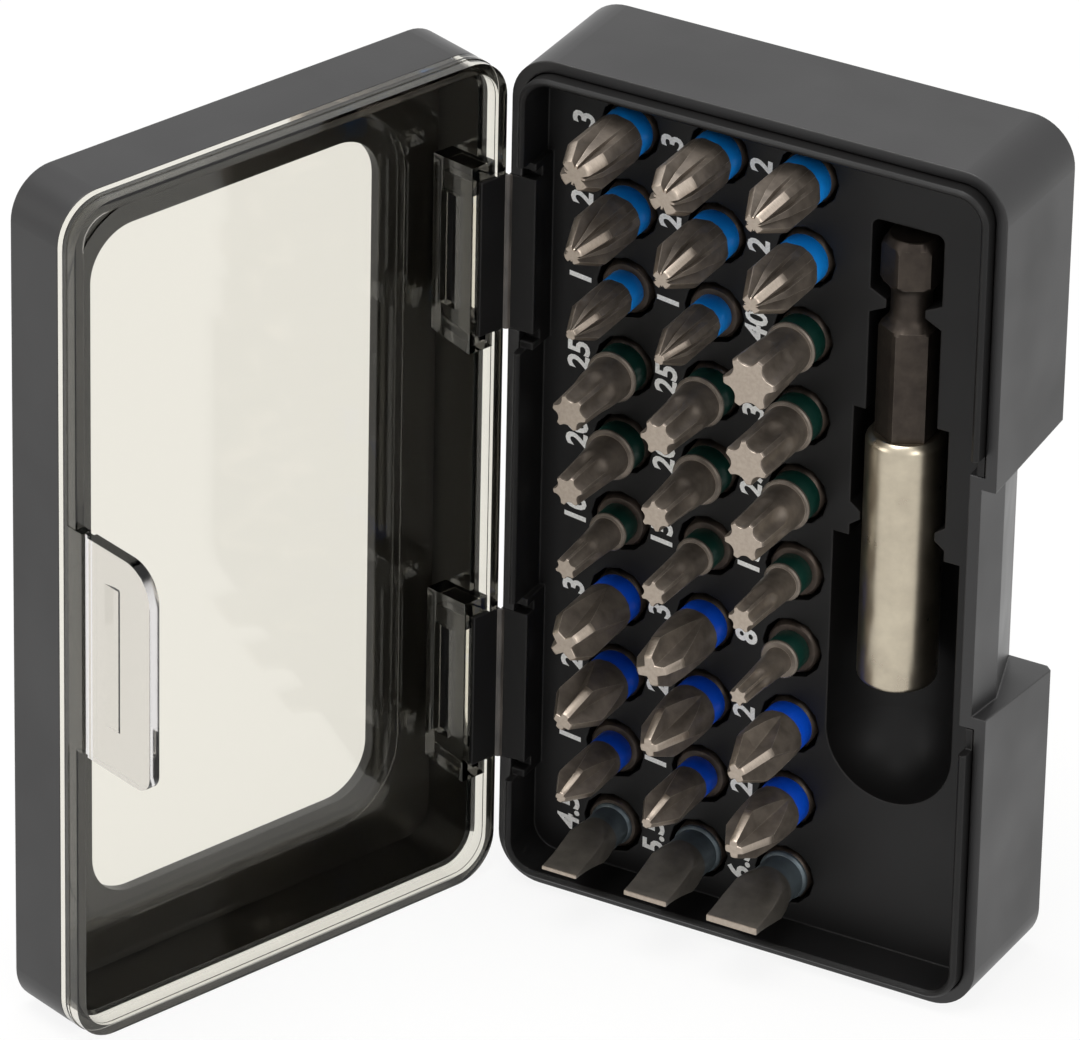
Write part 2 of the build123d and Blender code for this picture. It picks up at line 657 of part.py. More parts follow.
def flute_half_angle(floor, radius):
    """Half the angle that a flute takes from the round outline."""
    reach = floor * sin(radians(FLUTE_HALF_ANGLE)) / radius
    if reach >= 1:
        return FLUTE_END_HALF_ANGLE
    return max(FLUTE_HALF_ANGLE - degrees(asin(reach)), FLUTE_END_HALF_ANGLE)


def ph_outline(radius, floor):
    """Four wings with an open V between them."""
    half = flute_half_angle(floor, radius)
    points = []
    for quarter in range(4):
        middle = 45 + 90 * quarter
        points += [
            (middle, min(floor, radius)), (middle + half, radius),
            (middle + 45, radius), (middle + 90 - half, radius),
        ]
    return polar(points)


def pz_outline(radius, floor, land, rib):
    """Four narrow wings, and between each two a flat-topped rib with a groove beside it."""
    edge = 45 - degrees(asin(land / radius))
    points = []
    for quarter in range(4):
        middle = 45 + 90 * quarter
        trough = min(floor, radius)
        crest = trough + (radius - trough) * RIB_HEIGHT_SHARE
        points += [
            (middle - edge, radius), (middle - rib - RIB_TIP_HALF_ANGLE, trough),
            (middle - rib, crest), (middle + rib, crest),
            (middle + rib + RIB_TIP_HALF_ANGLE, trough), (middle + edge, radius),
        ]
    return polar(points)


def cross_bit(kind):
    """A cross bit: four wings with flutes that run out in the round head."""
    size = kind[-1]
    land = LAND_HALF_WIDTH[kind]
    head = SMALL_HEAD_RADIUS if size == "1" else LARGE_HEAD_RADIUS
    tip = CROSS_TIP_RADIUS[size]
    cone = (head - tip) / tan(radians(CROSS_HALF_ANGLE))
    end = TIP_END_SHARE
    if kind.startswith("ph"):
        run_out = BIT_LENGTH - PH_FLUTE_LENGTH
        wide = flute_floor(land * LAND_SPREAD, head)
        near = flute_floor(land, tip)
        outlines = (
            ph_outline(head, head), ph_outline(head, head), ph_outline(head, wide),
            ph_outline(tip, near), ph_outline(end * tip, end * near),
        )
    else:
        run_out = BIT_LENGTH - PZ_FLUTE_LENGTH
        near = land * sqrt(2)
        share = cone / PZ_FLUTE_LENGTH
        wide = near + (head - near) * share
        rib = RIB_TIP_HALF_ANGLE + (RIB_HALF_ANGLE - RIB_TIP_HALF_ANGLE) * share
        outlines = (
            pz_outline(head, head, land, RIB_HALF_ANGLE), pz_outline(head, head, land, RIB_HALF_ANGLE),
            pz_outline(head, wide, land, rib), pz_outline(tip, near, land, RIB_TIP_HALF_ANGLE),
            pz_outline(end * tip, end * near, end * land, RIB_TIP_HALF_ANGLE),
        )
    heights = (
        BIT_SHANK_LENGTH - HEAD_SINK, run_out, BIT_LENGTH - TIP_CHAMFER - cone,
        BIT_LENGTH - TIP_CHAMFER, BIT_LENGTH,
    )
    return hex_rod(0, BIT_SHANK_LENGTH, SHANK_CHAMFER) + skinned(list(zip(outlines, heights)))


def star_outline(outer, valley):
    """A six-lobed star: a flat crest and a sharp valley on each lobe."""
    points = []
    for lobe in range(6):
        for step, radius in ((-1, outer), (1, outer)):
            points.append((60 * lobe + step * STAR_CREST_HALF_ANGLE, radius))
        points.append((60 * lobe + 30, valley))
    return polar(points)


def star_bit(kind):
    """A six-lobed bit: a round head, a shoulder, a body and a star that runs out in it."""
    outer = STAR_DIAMETER[kind] / 2
    valley = outer * STAR_VALLEY_SHARE
    head = LARGE_HEAD_RADIUS if outer > SMALL_STAR_RADIUS else SMALL_HEAD_RADIUS
    body = min(outer + STAR_BODY_STEP, head)
    shoulder = BIT_SHANK_LENGTH + RING_LENGTH + STAR_HEAD_LENGTH
    start = BIT_LENGTH - STAR_FLUTE_BASE - STAR_FLUTE_SHARE * STAR_DIAMETER[kind]
    sections = [
        (star_outline(head, head), BIT_SHANK_LENGTH - HEAD_SINK),
        (star_outline(head, head), shoulder),
        (star_outline(body, body), shoulder + STAR_SHOULDER_LENGTH),
        (star_outline(outer, min(outer, body)), start),
        (star_outline(outer, valley), start + STAR_RUN_OUT),
        (star_outline(outer, valley), BIT_LENGTH - STAR_TIP_LENGTH),
        (star_outline(outer * STAR_TIP_SHARE, valley * STAR_TIP_SHARE), BIT_LENGTH),
    ]
    return hex_rod(0, BIT_SHANK_LENGTH, SHANK_CHAMFER) + skinned(sections)


def box_outline(half_width, half_thickness, corner):
    """Twelve points of a rounded rectangle, three at each corner."""
    corner = min(corner, half_width, half_thickness)
    points = []
    for quarter, (side, end) in enumerate(((1, 1), (-1, 1), (-1, -1), (1, -1))):
        for step in CORNER_STEPS:
            angle = radians(90 * (quarter + step))
            points.append((
                side * (half_width - corner) + corner * cos(angle),
                end * (half_thickness - corner) + corner * sin(angle),
            ))
    return points


def slotted_bit(kind):
    """A flat bit: a collar and a round neck that spreads into a ground blade."""
    width, thickness = BLADE[kind]
    head = SMALL_HEAD_RADIUS if width < SMALL_BLADE_WIDTH else SLOTTED_HEAD_RADIUS
    half = width / 2
    collar = head + SLOTTED_COLLAR
    start = BIT_SHANK_LENGTH + COLLAR_LENGTH
    waist = BIT_SHANK_LENGTH + SLOTTED_NECK_LENGTH
    sections = [
        (box_outline(collar, collar, collar), BIT_SHANK_LENGTH - HEAD_SINK),
        (box_outline(collar, collar, collar), start),
        (box_outline(head, head, head), start + COLLAR_FALL),
    ]
    for share, thick, corner, beyond in BLADE_SECTIONS:
        wide = head + (half - head) * share
        sections.append((box_outline(wide, head * thick, head * corner), waist + beyond))
    sections.append((box_outline(half, thickness / 2, EDGE_CORNER), BIT_LENGTH))
    return hex_rod(0, BIT_SHANK_LENGTH, SHANK_CHAMFER) + skinned(sections)


def make_bit(kind):
    """One driver bit, standing on its shank end."""
    if kind.startswith("sl"):
        return slotted_bit(kind)
    return star_bit(kind) if kind.startswith("t") else cross_bit(kind)


def bit_place(column, row):
    """Lay a standing bit into its socket, tip towards -Y."""
    across = COLUMNS_ACROSS[column]
    height = TOP_ROW_HEIGHT - row * ROW_PITCH
    return Pos(BASE_X + across, SEAM_Y - BIT_BOTTOM_DEPTH, height) * Rot(90, 0, 0)


# ---- bit holder --------------------------------------------------------------------
def place_holder(solid):
    """Move a piece drawn on the holder's axis, heights as in the case, to its cavity."""
    return Pos(BASE_X + HOLDER_ACROSS, SEAM_Y + HOLDER_DEPTH, 0) * solid


def many_sided(radius, count):
    """A regular outline whose corners lie on a circle."""
    return round_outline(radius, [360 / count * step for step in range(count)])


def make_holder_sleeve():
    """The steel sleeve: a hexagon bore for the bit and a groove for the spring ring."""
    top = HOLDER_BOTTOM + SLEEVE_LENGTH
    outer = SLEEVE_DIAMETER / 2
    sleeve = skinned([
        (many_sided(radius, SLEEVE_FACETS), height) for radius, height in (
            (outer - SLEEVE_MOUTH_CHAMFER, HOLDER_BOTTOM),
            (outer, HOLDER_BOTTOM + SLEEVE_MOUTH_CHAMFER),
            (outer, top - SLEEVE_TOP_CHAMFER), (outer - SLEEVE_TOP_CHAMFER, top),
        )
    ])
    bore = hexagon_outline(HEX_SIZE + 2 * INSERT_FIT)[::2]
    sleeve -= skinned(((bore, HOLDER_BOTTOM - OVERRUN), (bore, top + OVERRUN)))
    middle = HOLDER_BOTTOM + RING_SETBACK
    groove = many_sided(HEX_SIZE / sqrt(3) + RING_STAND + INSERT_FIT, RING_FACETS)
    sleeve -= skinned(((groove, middle - RING_WIRE), (groove, middle + RING_WIRE)))
    return sleeve


def make_holder_shank():
    """The drive shank: hexagon with a locking groove, pressed into the sleeve."""
    bottom = HOLDER_BOTTOM + SLEEVE_LENGTH - SHANK_IN_SLEEVE
    full = hexagon_outline(HEX_SIZE)
    neck = hexagon_outline(HEX_SIZE, GROOVE_DIAMETER / 2)
    end = hexagon_outline(HEX_SIZE, HEX_SIZE / 2 - SHANK_END_CHAMFER)
    return skinned((
        (end, bottom), (full, bottom + SHANK_CHAMFER), (full, GROOVE_BOTTOM),
        (neck, GROOVE_BOTTOM + GROOVE_FLANK), (neck, GROOVE_TOP - GROOVE_FLANK),
        (full, GROOVE_TOP), (full, SHANK_TOP - SHANK_END_TAPER), (end, SHANK_TOP),
    ))


def make_holder_magnet():
    """The disc magnet against the shank's end."""
    bottom = HOLDER_BOTTOM + SLEEVE_LENGTH - SHANK_IN_SLEEVE - MAGNET_LENGTH - INSERT_FIT
    disc = many_sided(MAGNET_DIAMETER / 2, RING_FACETS)
    return skinned(((disc, bottom), (disc, bottom + MAGNET_LENGTH)))


def make_retaining_ring():
    """The split spring ring that keeps the bit in the sleeve."""
    outer = HEX_SIZE / sqrt(3) + RING_STAND
    low = HOLDER_BOTTOM + RING_SETBACK - RING_WIRE / 2
    high = low + RING_WIRE
    whole = many_sided(outer, RING_FACETS)
    bore = many_sided(outer - RING_WIRE, RING_FACETS)
    ring = skinned(((whole, low), (whole, high)))
    ring -= skinned(((bore, low - OVERRUN), (bore, high + OVERRUN)))
    return ring - Pos(0, outer, low) * Box(RING_SPLIT, 4 * RING_WIRE, 4 * RING_WIRE)


def main():
    """Build and save every node."""
    save(place_base(make_base_shell()), "base_shell")
    save(place_base(make_bit_tray()), "bit_tray")
    save(place_lid(make_lid_cover()), "lid_cover")
    save(place_lid(make_clear_insert()), "clear_insert")
    save(place_lid(make_latch_tab()), "latch_tab")
    for name in HINGE_HEIGHTS:
        save(place_lid(make_hinge_clip(name)), f"hinge_clip_{name}")
    save(place_holder(make_holder_sleeve()), "holder_sleeve")
    save(place_holder(make_holder_shank()), "holder_shank")
    save(place_holder(make_holder_magnet()), "holder_magnet")
    save(place_holder(make_retaining_ring()), "holder_retaining_ring")
    for column, kinds in enumerate(BIT_COLUMNS):
        for row, kind in enumerate(kinds):
            name = f"bit_{column + 1}_{row + 1:02d}_{kind}"
            save(bit_place(column, row) * make_bit(kind), name)


main()
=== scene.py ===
"""Looks of a hinged driver bit case: clear plastics, steel bits, colour rings and the studio."""

import json
from math import asin, cos, hypot, pi, radians, sin, sqrt, tan

import bmesh
import bpy
from mathutils import Matrix, Vector


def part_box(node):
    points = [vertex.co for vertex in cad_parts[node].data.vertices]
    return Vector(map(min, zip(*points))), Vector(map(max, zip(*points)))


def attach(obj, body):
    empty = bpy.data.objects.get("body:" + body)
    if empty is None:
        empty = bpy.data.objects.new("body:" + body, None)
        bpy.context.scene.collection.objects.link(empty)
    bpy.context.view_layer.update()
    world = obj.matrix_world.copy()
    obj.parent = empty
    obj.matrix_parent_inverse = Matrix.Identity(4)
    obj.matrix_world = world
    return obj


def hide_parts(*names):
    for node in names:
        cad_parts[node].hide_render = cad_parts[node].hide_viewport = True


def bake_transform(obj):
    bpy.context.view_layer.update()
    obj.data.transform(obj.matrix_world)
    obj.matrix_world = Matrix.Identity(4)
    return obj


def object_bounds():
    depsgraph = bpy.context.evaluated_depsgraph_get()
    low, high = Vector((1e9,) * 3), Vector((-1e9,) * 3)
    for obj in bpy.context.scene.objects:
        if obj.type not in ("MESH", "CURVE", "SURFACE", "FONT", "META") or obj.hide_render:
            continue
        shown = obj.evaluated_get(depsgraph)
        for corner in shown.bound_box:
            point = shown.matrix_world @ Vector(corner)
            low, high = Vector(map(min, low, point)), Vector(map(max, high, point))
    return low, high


bl_info = {
    "name": "Driver Bit Case",
    "version": (1, 0, 0),
    "blender": (4, 5, 0),
    "location": "View3D > Sidebar > Bit Case",
    "description": "Dresses a hinged driver bit case and its thirty bits",
    "category": "Object",
}

MM = 0.001
# The standard 1/4 inch hexagon: across its flats, and from its axis to its rounded corners.
DRIVE_FLATS = 6.35
CORNER_REACH = 3.62

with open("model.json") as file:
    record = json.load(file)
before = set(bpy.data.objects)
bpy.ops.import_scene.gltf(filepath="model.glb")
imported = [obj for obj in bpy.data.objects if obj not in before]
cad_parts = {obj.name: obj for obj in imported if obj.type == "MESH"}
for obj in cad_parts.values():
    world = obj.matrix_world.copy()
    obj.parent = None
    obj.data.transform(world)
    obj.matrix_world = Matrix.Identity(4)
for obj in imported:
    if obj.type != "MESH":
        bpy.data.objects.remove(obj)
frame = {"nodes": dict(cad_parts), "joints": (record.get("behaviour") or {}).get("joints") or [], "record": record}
CASE_LOW, CASE_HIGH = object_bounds()
JOINTS = {joint["name"]: joint for joint in frame["joints"]}
BIT_NODES = sorted(
    name for name in frame["nodes"] if name.startswith("bit_") and name != "bit_tray"
)
BODY_OF_NODE = {
    node: body
    for body, nodes in frame["record"]["behaviour"]["bodies"].items()
    for node in nodes
}


# ---- colours, nodes and meshes -------------------------------------------------------
def linear(colour):
    """An sRGB hex colour as linear red, green, blue and alpha."""
    channels = [int(colour[i:i + 2], 16) / 255 for i in (1, 3, 5)]
    return tuple(
        c / 12.92 if c <= 0.04045 else ((c + 0.055) / 1.055) ** 2.4 for c in channels
    ) + (1.0,)


def add(tree, kind, settings=None, **inputs):
    """Add one node. An input is a value, or the socket that it is linked from."""
    node = tree.nodes.new(kind)
    for name, value in (settings or {}).items():
        setattr(node, name, value)
    for name, value in inputs.items():
        key = int(name[1:]) if name[1:].isdigit() else name.replace("_", " ")
        socket = node.inputs[key]
        if isinstance(value, bpy.types.NodeSocket):
            tree.links.new(value, socket)
        else:
            socket.default_value = value
    return node


def new_material(name):
    """An empty node material, its tree, its shader and its coordinates in metres."""
    material = bpy.data.materials.new(name)
    material.use_nodes = True
    tree = material.node_tree
    tree.nodes.clear()
    shader = add(tree, "ShaderNodeBsdfPrincipled")
    output = add(tree, "ShaderNodeOutputMaterial")
    tree.links.new(shader.outputs["BSDF"], output.inputs["Surface"])
    place = add(tree, "ShaderNodeTexCoord").outputs["Object"]
    return material, tree, shader, place


def set_inputs(shader, **values):
    """Set or link the shader's own sockets by name."""
    tree = shader.id_data
    for name, value in values.items():
        socket = shader.inputs[name.replace("_", " ")]
        if isinstance(value, bpy.types.NodeSocket):
            tree.links.new(value, socket)
        else:
            socket.default_value = value


def noise(tree, place, size_mm, detail=3.0, rough=0.55, stretch=(1, 1, 1)):
    """Noise whose blotches are about size_mm across, as a value from 0 to 1."""
    grown = add(tree, "ShaderNodeMapping", Vector=place, Scale=stretch).outputs["Vector"]
    return add(
        tree, "ShaderNodeTexNoise", Vector=grown, Scale=1 / (size_mm * MM), Detail=detail,
        Roughness=rough,
    ).outputs["Fac"]


def blend_colours(tree, amount, first, second):
    """A colour between two hex colours, by a value from 0 to 1."""
    return add(
        tree, "ShaderNodeMix", {"data_type": "RGBA"}, Factor=amount, _6=linear(first),
        _7=linear(second),
    ).outputs[2]


def spread(tree, value, low, high, start=0.3, end=0.7):
    """A value from 0 to 1 moved into the range low to high."""
    return add(
        tree, "ShaderNodeMapRange", Value=value, From_Min=start, From_Max=end, To_Min=low,
        To_Max=high,
    ).outputs["Result"]


def bumped(tree, height, depth_mm, strength=1.0, edge_mm=0.0):
    """A normal from a height pattern, on edges that are softened to a radius."""
    inputs = {"Height": height, "Distance": depth_mm * MM, "Strength": strength}
    if edge_mm:
        bevel = add(tree, "ShaderNodeBevel", {"samples": 6}, Radius=edge_mm * MM)
        inputs["Normal"] = bevel.outputs["Normal"]
    return add(tree, "ShaderNodeBump", **inputs).outputs["Normal"]


def edge_sheen_and_wear(tree, edge_mm):
    """A value that is 1 on sharp edges and 0 on flat faces; it masks painted edge highlights and rubbed wear."""
    bevel = add(tree, "ShaderNodeBevel", {"samples": 6}, Radius=edge_mm * MM)
    flat = add(tree, "ShaderNodeNewGeometry").outputs["Normal"]
    dot = add(
        tree, "ShaderNodeVectorMath", {"operation": "DOT_PRODUCT"}, _0=bevel.outputs["Normal"],
        _1=flat,
    ).outputs["Value"]
    return spread(tree, dot, 1.0, 0.0, 0.8, 0.99)


def placed(name, data):
    """A new object in the scene, round a mesh, a text, a lamp or a camera."""
    item = bpy.data.objects.new(name, data)
    bpy.context.scene.collection.objects.link(item)
    return item


def new_object(name, mesh, body, *materials):
    """A piece with this mesh and these materials, which rides on a body."""
    piece = placed(name, mesh)
    for material in materials:
        mesh.materials.append(material)
    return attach(piece, body)


def lofted(bm, sections, finish_of=None, close=False, cap_finish=0):
    """Skin a row of point loops of equal length, with flat ends or joined end to end."""
    loops = [[bm.verts.new(point) for point in section] for section in sections]
    bands = list(zip(loops, loops[1:]))
    if close:
        bands.append((loops[-1], loops[0]))
    for number, (near, far) in enumerate(bands):
        for i in range(len(near)):
            j = (i + 1) % len(near)
            face = bm.faces.new((near[i], near[j], far[j], far[i]))
            face.smooth = True
            face.material_index = finish_of(number, i) if finish_of else 0
    if not close:
        bm.faces.new(loops[0][::-1])
        bm.faces.new(loops[-1]).material_index = cap_finish


def finished_mesh(bm, name, sharp_degrees=30):
    """The mesh of a bmesh, tidied, with its sharp edges marked by angle."""
    bmesh.ops.remove_doubles(bm, verts=bm.verts, dist=1e-7)
    bmesh.ops.recalc_face_normals(bm, faces=bm.faces)
    mesh = bpy.data.meshes.new(name)
    bm.to_mesh(mesh)
    bm.free()
    mesh.set_sharp_from_angle(angle=radians(sharp_degrees))
    return mesh


def circle_points(radius, count):
    """Points of a round section."""
    return [(radius * cos(2 * pi * i / count), radius * sin(2 * pi * i / count))
            for i in range(count)]


def hexagon_points(across_flats, limit, count, turn=0.0):
    """Points of a hexagon section, its first corner at a turn, cut to a round limit."""
    points = []
    for i in range(count):
        angle = 2 * pi * i / count
        radius = min(across_flats / 2 / cos((angle - turn) % (pi / 3) - pi / 6), limit)
        points.append((radius * cos(angle), radius * sin(angle)))
    return points


def rounded_box_points(half_width, half_thickness, corner, count):
    """Points of a rounded rectangle; count is a multiple of four."""
    corner = min(corner, half_width, half_thickness)
    per_corner = count // 4
    centres = ((1, 1), (-1, 1), (-1, -1), (1, -1))
    points = []
    for quarter, (side, end) in enumerate(centres):
        for i in range(per_corner):
            angle = pi / 2 * (quarter + i / (per_corner - 1))
            points.append((
                side * (half_width - corner) + corner * cos(angle),
                end * (half_thickness - corner) + corner * sin(angle),
            ))
    return points


# ---- sizes and colours that a user would change --------------------------------------
class MouldingSettings(bpy.types.PropertyGroup):
    """Colours and textures of the plastic mouldings."""

    shell_colour: bpy.props.StringProperty(
        name="Shell colour", description="Black plastic of the case halves", default="#131213",
    )
    tray_colour: bpy.props.StringProperty(
        name="Tray colour", description="Black plastic of the bit tray", default="#0C0B0B",
    )
    clear_colour: bpy.props.StringProperty(
        name="Clear colour", description="Tint of the clear lid insert", default="#E9E6DC",
    )
    tab_colour: bpy.props.StringProperty(
        name="Tab colour", description="Tint of the clear latch tab", default="#E9E7E6",
    )
    grain: bpy.props.FloatProperty(
        name="Mould grain", description="Size of the sparked mould texture, in mm", default=0.35,
        min=0.05,
    )
    edge_radius: bpy.props.FloatProperty(
        name="Edge radius", description="Softness of moulded edges, in mm", default=0.3, min=0.0,
    )


class BitSettings(bpy.types.PropertyGroup):
    """Sizes and colours of the driver bits."""

    across_flats: bpy.props.FloatProperty(
        name="Across flats", description="Drive hexagon", default=DRIVE_FLATS * MM,
        unit="LENGTH",
    )
    shank_length: bpy.props.FloatProperty(
        name="Shank length", description="From the end to the shoulder", default=12.2 * MM,
        unit="LENGTH",
    )
    ring_length: bpy.props.FloatProperty(
        name="Ring length", description="Width of the colour ring", default=2.75 * MM,
        unit="LENGTH",
    )
    ribbed_colour: bpy.props.StringProperty(
        name="Light blue", description="Rings of the ribbed cross bits", default="#0A8CEA",
    )
    cross_colour: bpy.props.StringProperty(
        name="Dark blue", description="Rings of the plain cross bits", default="#004FD2",
    )
    star_colour: bpy.props.StringProperty(
        name="Dark green", description="Rings of the six-lobed bits", default="#06322A",
    )
    steel_colour: bpy.props.StringProperty(
        name="Coated steel", description="Phosphate coated tool steel", default="#80766C",
    )
    blade_colour: bpy.props.StringProperty(
        name="Blade steel", description="Darker coating of the flat bits", default="#6A655E",
    )
    ground_colour: bpy.props.StringProperty(
        name="Ground steel", description="Tips ground after coating", default="#B3A79A",
    )


class StudioSettings(bpy.types.PropertyGroup):
    """Camera and floor colour."""

    azimuth: bpy.props.FloatProperty(
        name="Azimuth", description="Camera direction round the case, from the +X side",
        default=radians(-61.53), subtype="ANGLE",
    )
    elevation: bpy.props.FloatProperty(
        name="Elevation", description="Camera height above level", default=radians(29.409),
        subtype="ANGLE",
    )
    roll: bpy.props.FloatProperty(
        name="Roll", description="Camera turn about its own line of sight",
        default=radians(1.191), subtype="ANGLE",
    )
    distance: bpy.props.FloatProperty(
        name="Distance", description="From the camera to the aim point", default=1.1744,
        unit="LENGTH",
    )
    lens: bpy.props.FloatProperty(
        name="Lens", description="Focal length on a 36 mm sensor, in mm", default=349.73,
    )
    aim_offset: bpy.props.FloatVectorProperty(
        name="Aim offset", description="Aim point from the centre of the case box",
        default=(0.0, 0.0043, 0.0066), unit="LENGTH",
    )
    floor_colour: bpy.props.StringProperty(
        name="Floor colour", description="Pale studio floor", default="#F4F3F0",
    )


# ---- materials -----------------------------------------------------------------------
def moulded_abs(name, colour, grain_mm, edge_mm, specular, roughness):
    """ABS, injection moulded in a fine sparked mould.

    Satin black with a faint grain, and edges painted a lighter colour: a painted highlight line, with a little
    rubbed wear.
    """
    material, tree, shader, place = new_material(name)
    grain = noise(tree, place, grain_mm, detail=2.0)
    cloud = noise(tree, place, 14.0, detail=2.0)
    # The edges are painted lighter: partly a painted highlight, partly rubbed wear.
    wear = edge_sheen_and_wear(tree, edge_mm * 1.4)
    sheen_and_wear = add(
        tree, "ShaderNodeMath", {"operation": "MULTIPLY"}, _0=wear,
        _1=spread(tree, noise(tree, place, 1.6), 0.0, 0.8),
    ).outputs["Value"]
    set_inputs(
        shader,
        Base_Color=blend_colours(tree, sheen_and_wear, colour, "#2A2827"),
        Roughness=spread(tree, cloud, roughness - 0.06, roughness + 0.06),
        IOR=1.53,
        Specular_IOR_Level=specular,
        Normal=bumped(tree, grain, 0.012, 0.35, edge_mm),
    )
    return material


def clear_polystyrene(name, colour):
    """Clear polystyrene, injection moulded and polished.

    Bright rims, a faint warm tint and a slight flow waviness. Its IOR is set below the
    typical 1.59, so that the insert's many walls stay as light as the real ones.
    """
    material, tree, shader, place = new_material(name)
    flow = noise(tree, place, 9.0, detail=1.0)
    set_inputs(
        shader,
        Base_Color=linear(colour),
        Roughness=0.04,
        IOR=1.37,
        Transmission_Weight=1.0,
        Normal=bumped(tree, flow, 0.02, 0.25),
    )
    return material


def coated_steel(name, colour, shadow_colour, metallic=0.55, edge_colour="#BCB1A4"):
    """Tool steel, shot blasted and manganese phosphated.

    Brownish grey with a fine speckle, a dull metal sheen and thin bright edges that are partly rubbed wear and
    partly a painted highlight.
    """
    material, tree, shader, place = new_material(name)
    speckle = noise(tree, place, 0.12, detail=2.0)
    patches = noise(tree, place, 1.8, detail=3.0)
    base = blend_colours(tree, spread(tree, patches, 0.0, 1.0), shadow_colour, colour)
    # The bright edge colour is partly rubbed wear and partly a painted highlight.
    sheen_and_wear = add(
        tree, "ShaderNodeMath", {"operation": "MULTIPLY"}, _0=edge_sheen_and_wear(tree, 0.12),
        _1=spread(tree, noise(tree, place, 0.7), 0.5, 1.0),
    ).outputs["Value"]
    set_inputs(
        shader,
        Base_Color=add(
            tree, "ShaderNodeMix", {"data_type": "RGBA"}, Factor=sheen_and_wear, _6=base,
            _7=linear(edge_colour),
        ).outputs[2],
        Metallic=metallic,
        Roughness=spread(tree, speckle, 0.36, 0.48),
        Normal=bumped(tree, speckle, 0.008, 0.3),
    )
    return material


def ground_steel(name, colour):
    """Tool steel, ground after coating: brighter, with fine parallel scratches."""
    material, tree, shader, place = new_material(name)
    lines = noise(tree, place, 0.5, detail=2.0, stretch=(1, 6, 1))
    set_inputs(
        shader,
        Base_Color=blend_colours(tree, spread(tree, lines, 0.0, 1.0), "#A3978B", colour),
        Metallic=1.0,
        Roughness=spread(tree, lines, 0.32, 0.44),
        Normal=bumped(tree, lines, 0.004, 0.3),
    )
    return material


def turned_steel(name, colour):
    """Stainless steel, turned on a lathe and tumbled.

    Soft grey-gold shine with faint rings round the axis and cloudy wear.
    """
    material, tree, shader, place = new_material(name)
    # Feed marks are about 0.05 mm apart. They are drawn at 0.25 mm, and faint, as tumbling
    # leaves them.
    rings = noise(tree, place, 1.0, detail=2.0, stretch=(0.1, 0.1, 4.0))
    cloud = noise(tree, place, 3.0, detail=3.0)
    set_inputs(
        shader,
        Base_Color=blend_colours(tree, spread(tree, cloud, 0.0, 1.0), "#B4AA98", colour),
        Metallic=1.0,
        Roughness=spread(tree, cloud, 0.27, 0.33),
        Normal=bumped(tree, rings, 0.001, 0.03),
    )
    return material


def ring_polyamide(name, colour):
    """Polyamide, moulded: a strong even colour with a soft sheen."""
    material, tree, shader, place = new_material(name)
    cloud = noise(tree, place, 0.8, detail=2.0)
    set_inputs(
        shader,
        Base_Color=linear(colour),
        Roughness=spread(tree, cloud, 0.34, 0.44),
        IOR=1.53,
        Normal=bumped(tree, noise(tree, place, 0.2), 0.006, 0.3),
    )
    return material


def pad_printed_ink(name):
    """Two-part ink, pad printed: slightly broken white."""
    material, tree, shader, place = new_material(name)
    cover = noise(tree, place, 0.25, detail=3.0)
    set_inputs(
        shader,
        Base_Color=blend_colours(tree, spread(tree, cover, 0.0, 1.0), "#DAD9D7", "#F6F6F4"),
        Roughness=spread(tree, cover, 0.5, 0.62),
    )
    return material


def folded_polypropylene(name):
    """Polypropylene, moulded thin and folded: dark brown, with lighter streaks along the fold that are a painted
    highlight.
    """
    material, tree, shader, place = new_material(name)
    # The lighter streaks run along the fold and paint its highlight.
    streaks = noise(tree, place, 1.4, detail=2.0, stretch=(1, 1, 0.25))
    set_inputs(
        shader,
        Base_Color=blend_colours(tree, spread(tree, streaks, 0.0, 1.0), "#2B2826", "#57514C"),
        Roughness=spread(tree, streaks, 0.3, 0.42),
        IOR=1.49,
        Normal=bumped(tree, streaks, 0.02, 0.5),
    )
    return material


def spring_steel(name):
    """Spring steel wire, drawn and tempered: dark grey with small lighter marks."""
    material, tree, shader, place = new_material(name)
    marks = noise(tree, place, 0.3, detail=2.0)
    set_inputs(
        shader,
        Base_Color=blend_colours(tree, marks, "#55524F", "#7D7A76"),
        Metallic=1.0,
        Roughness=spread(tree, marks, 0.3, 0.4),
    )
    return material


def nickel_plate(name):
    """Nickel, plated on the magnet: bright, with a few dull patches."""
    material, tree, shader, place = new_material(name)
    patches = noise(tree, place, 1.0)
    set_inputs(
        shader,
        Base_Color=blend_colours(tree, patches, "#B5B0A6", "#D2CEC4"),
        Metallic=1.0,
        Roughness=spread(tree, patches, 0.18, 0.3),
    )
    return material


def dress(node, material):
    """Give a carried-over CAD node its material."""
    mesh = frame["nodes"][node].data
    mesh.materials.clear()
    mesh.materials.append(material)


# ---- driver bits ---------------------------------------------------------------------
# Lengths are in mm. Points round each kind of section:
HEX_COUNT = 48
BLADE_COUNT = 48
RING_COUNT = 64
STAR_COUNT = 120
# Radii of the round heads, and of the cross tips by their size number.
LARGE_HEAD = 3.12
SMALL_HEAD = 2.35
SLOTTED_HEAD = 2.75
CROSS_TIP = {"3": 1.95, "2": 1.2, "1": 0.7}
CROSS_TIP_HALF_ANGLE = radians(26.5)
# Under its colour ring, a head is turned down by this much in radius; the ring's bore lies
# a little deeper, so that no gap shows.
RING_SEAT = 0.45
RING_DEPTH = 0.5
# Half the width of the ground land along each wing of a cross bit.
LAND_HALF_WIDTH = {
    "ph3": 0.5, "ph2": 0.44, "ph1": 0.32, "pz3": 0.7, "pz2": 0.48, "pz1": 0.34,
}
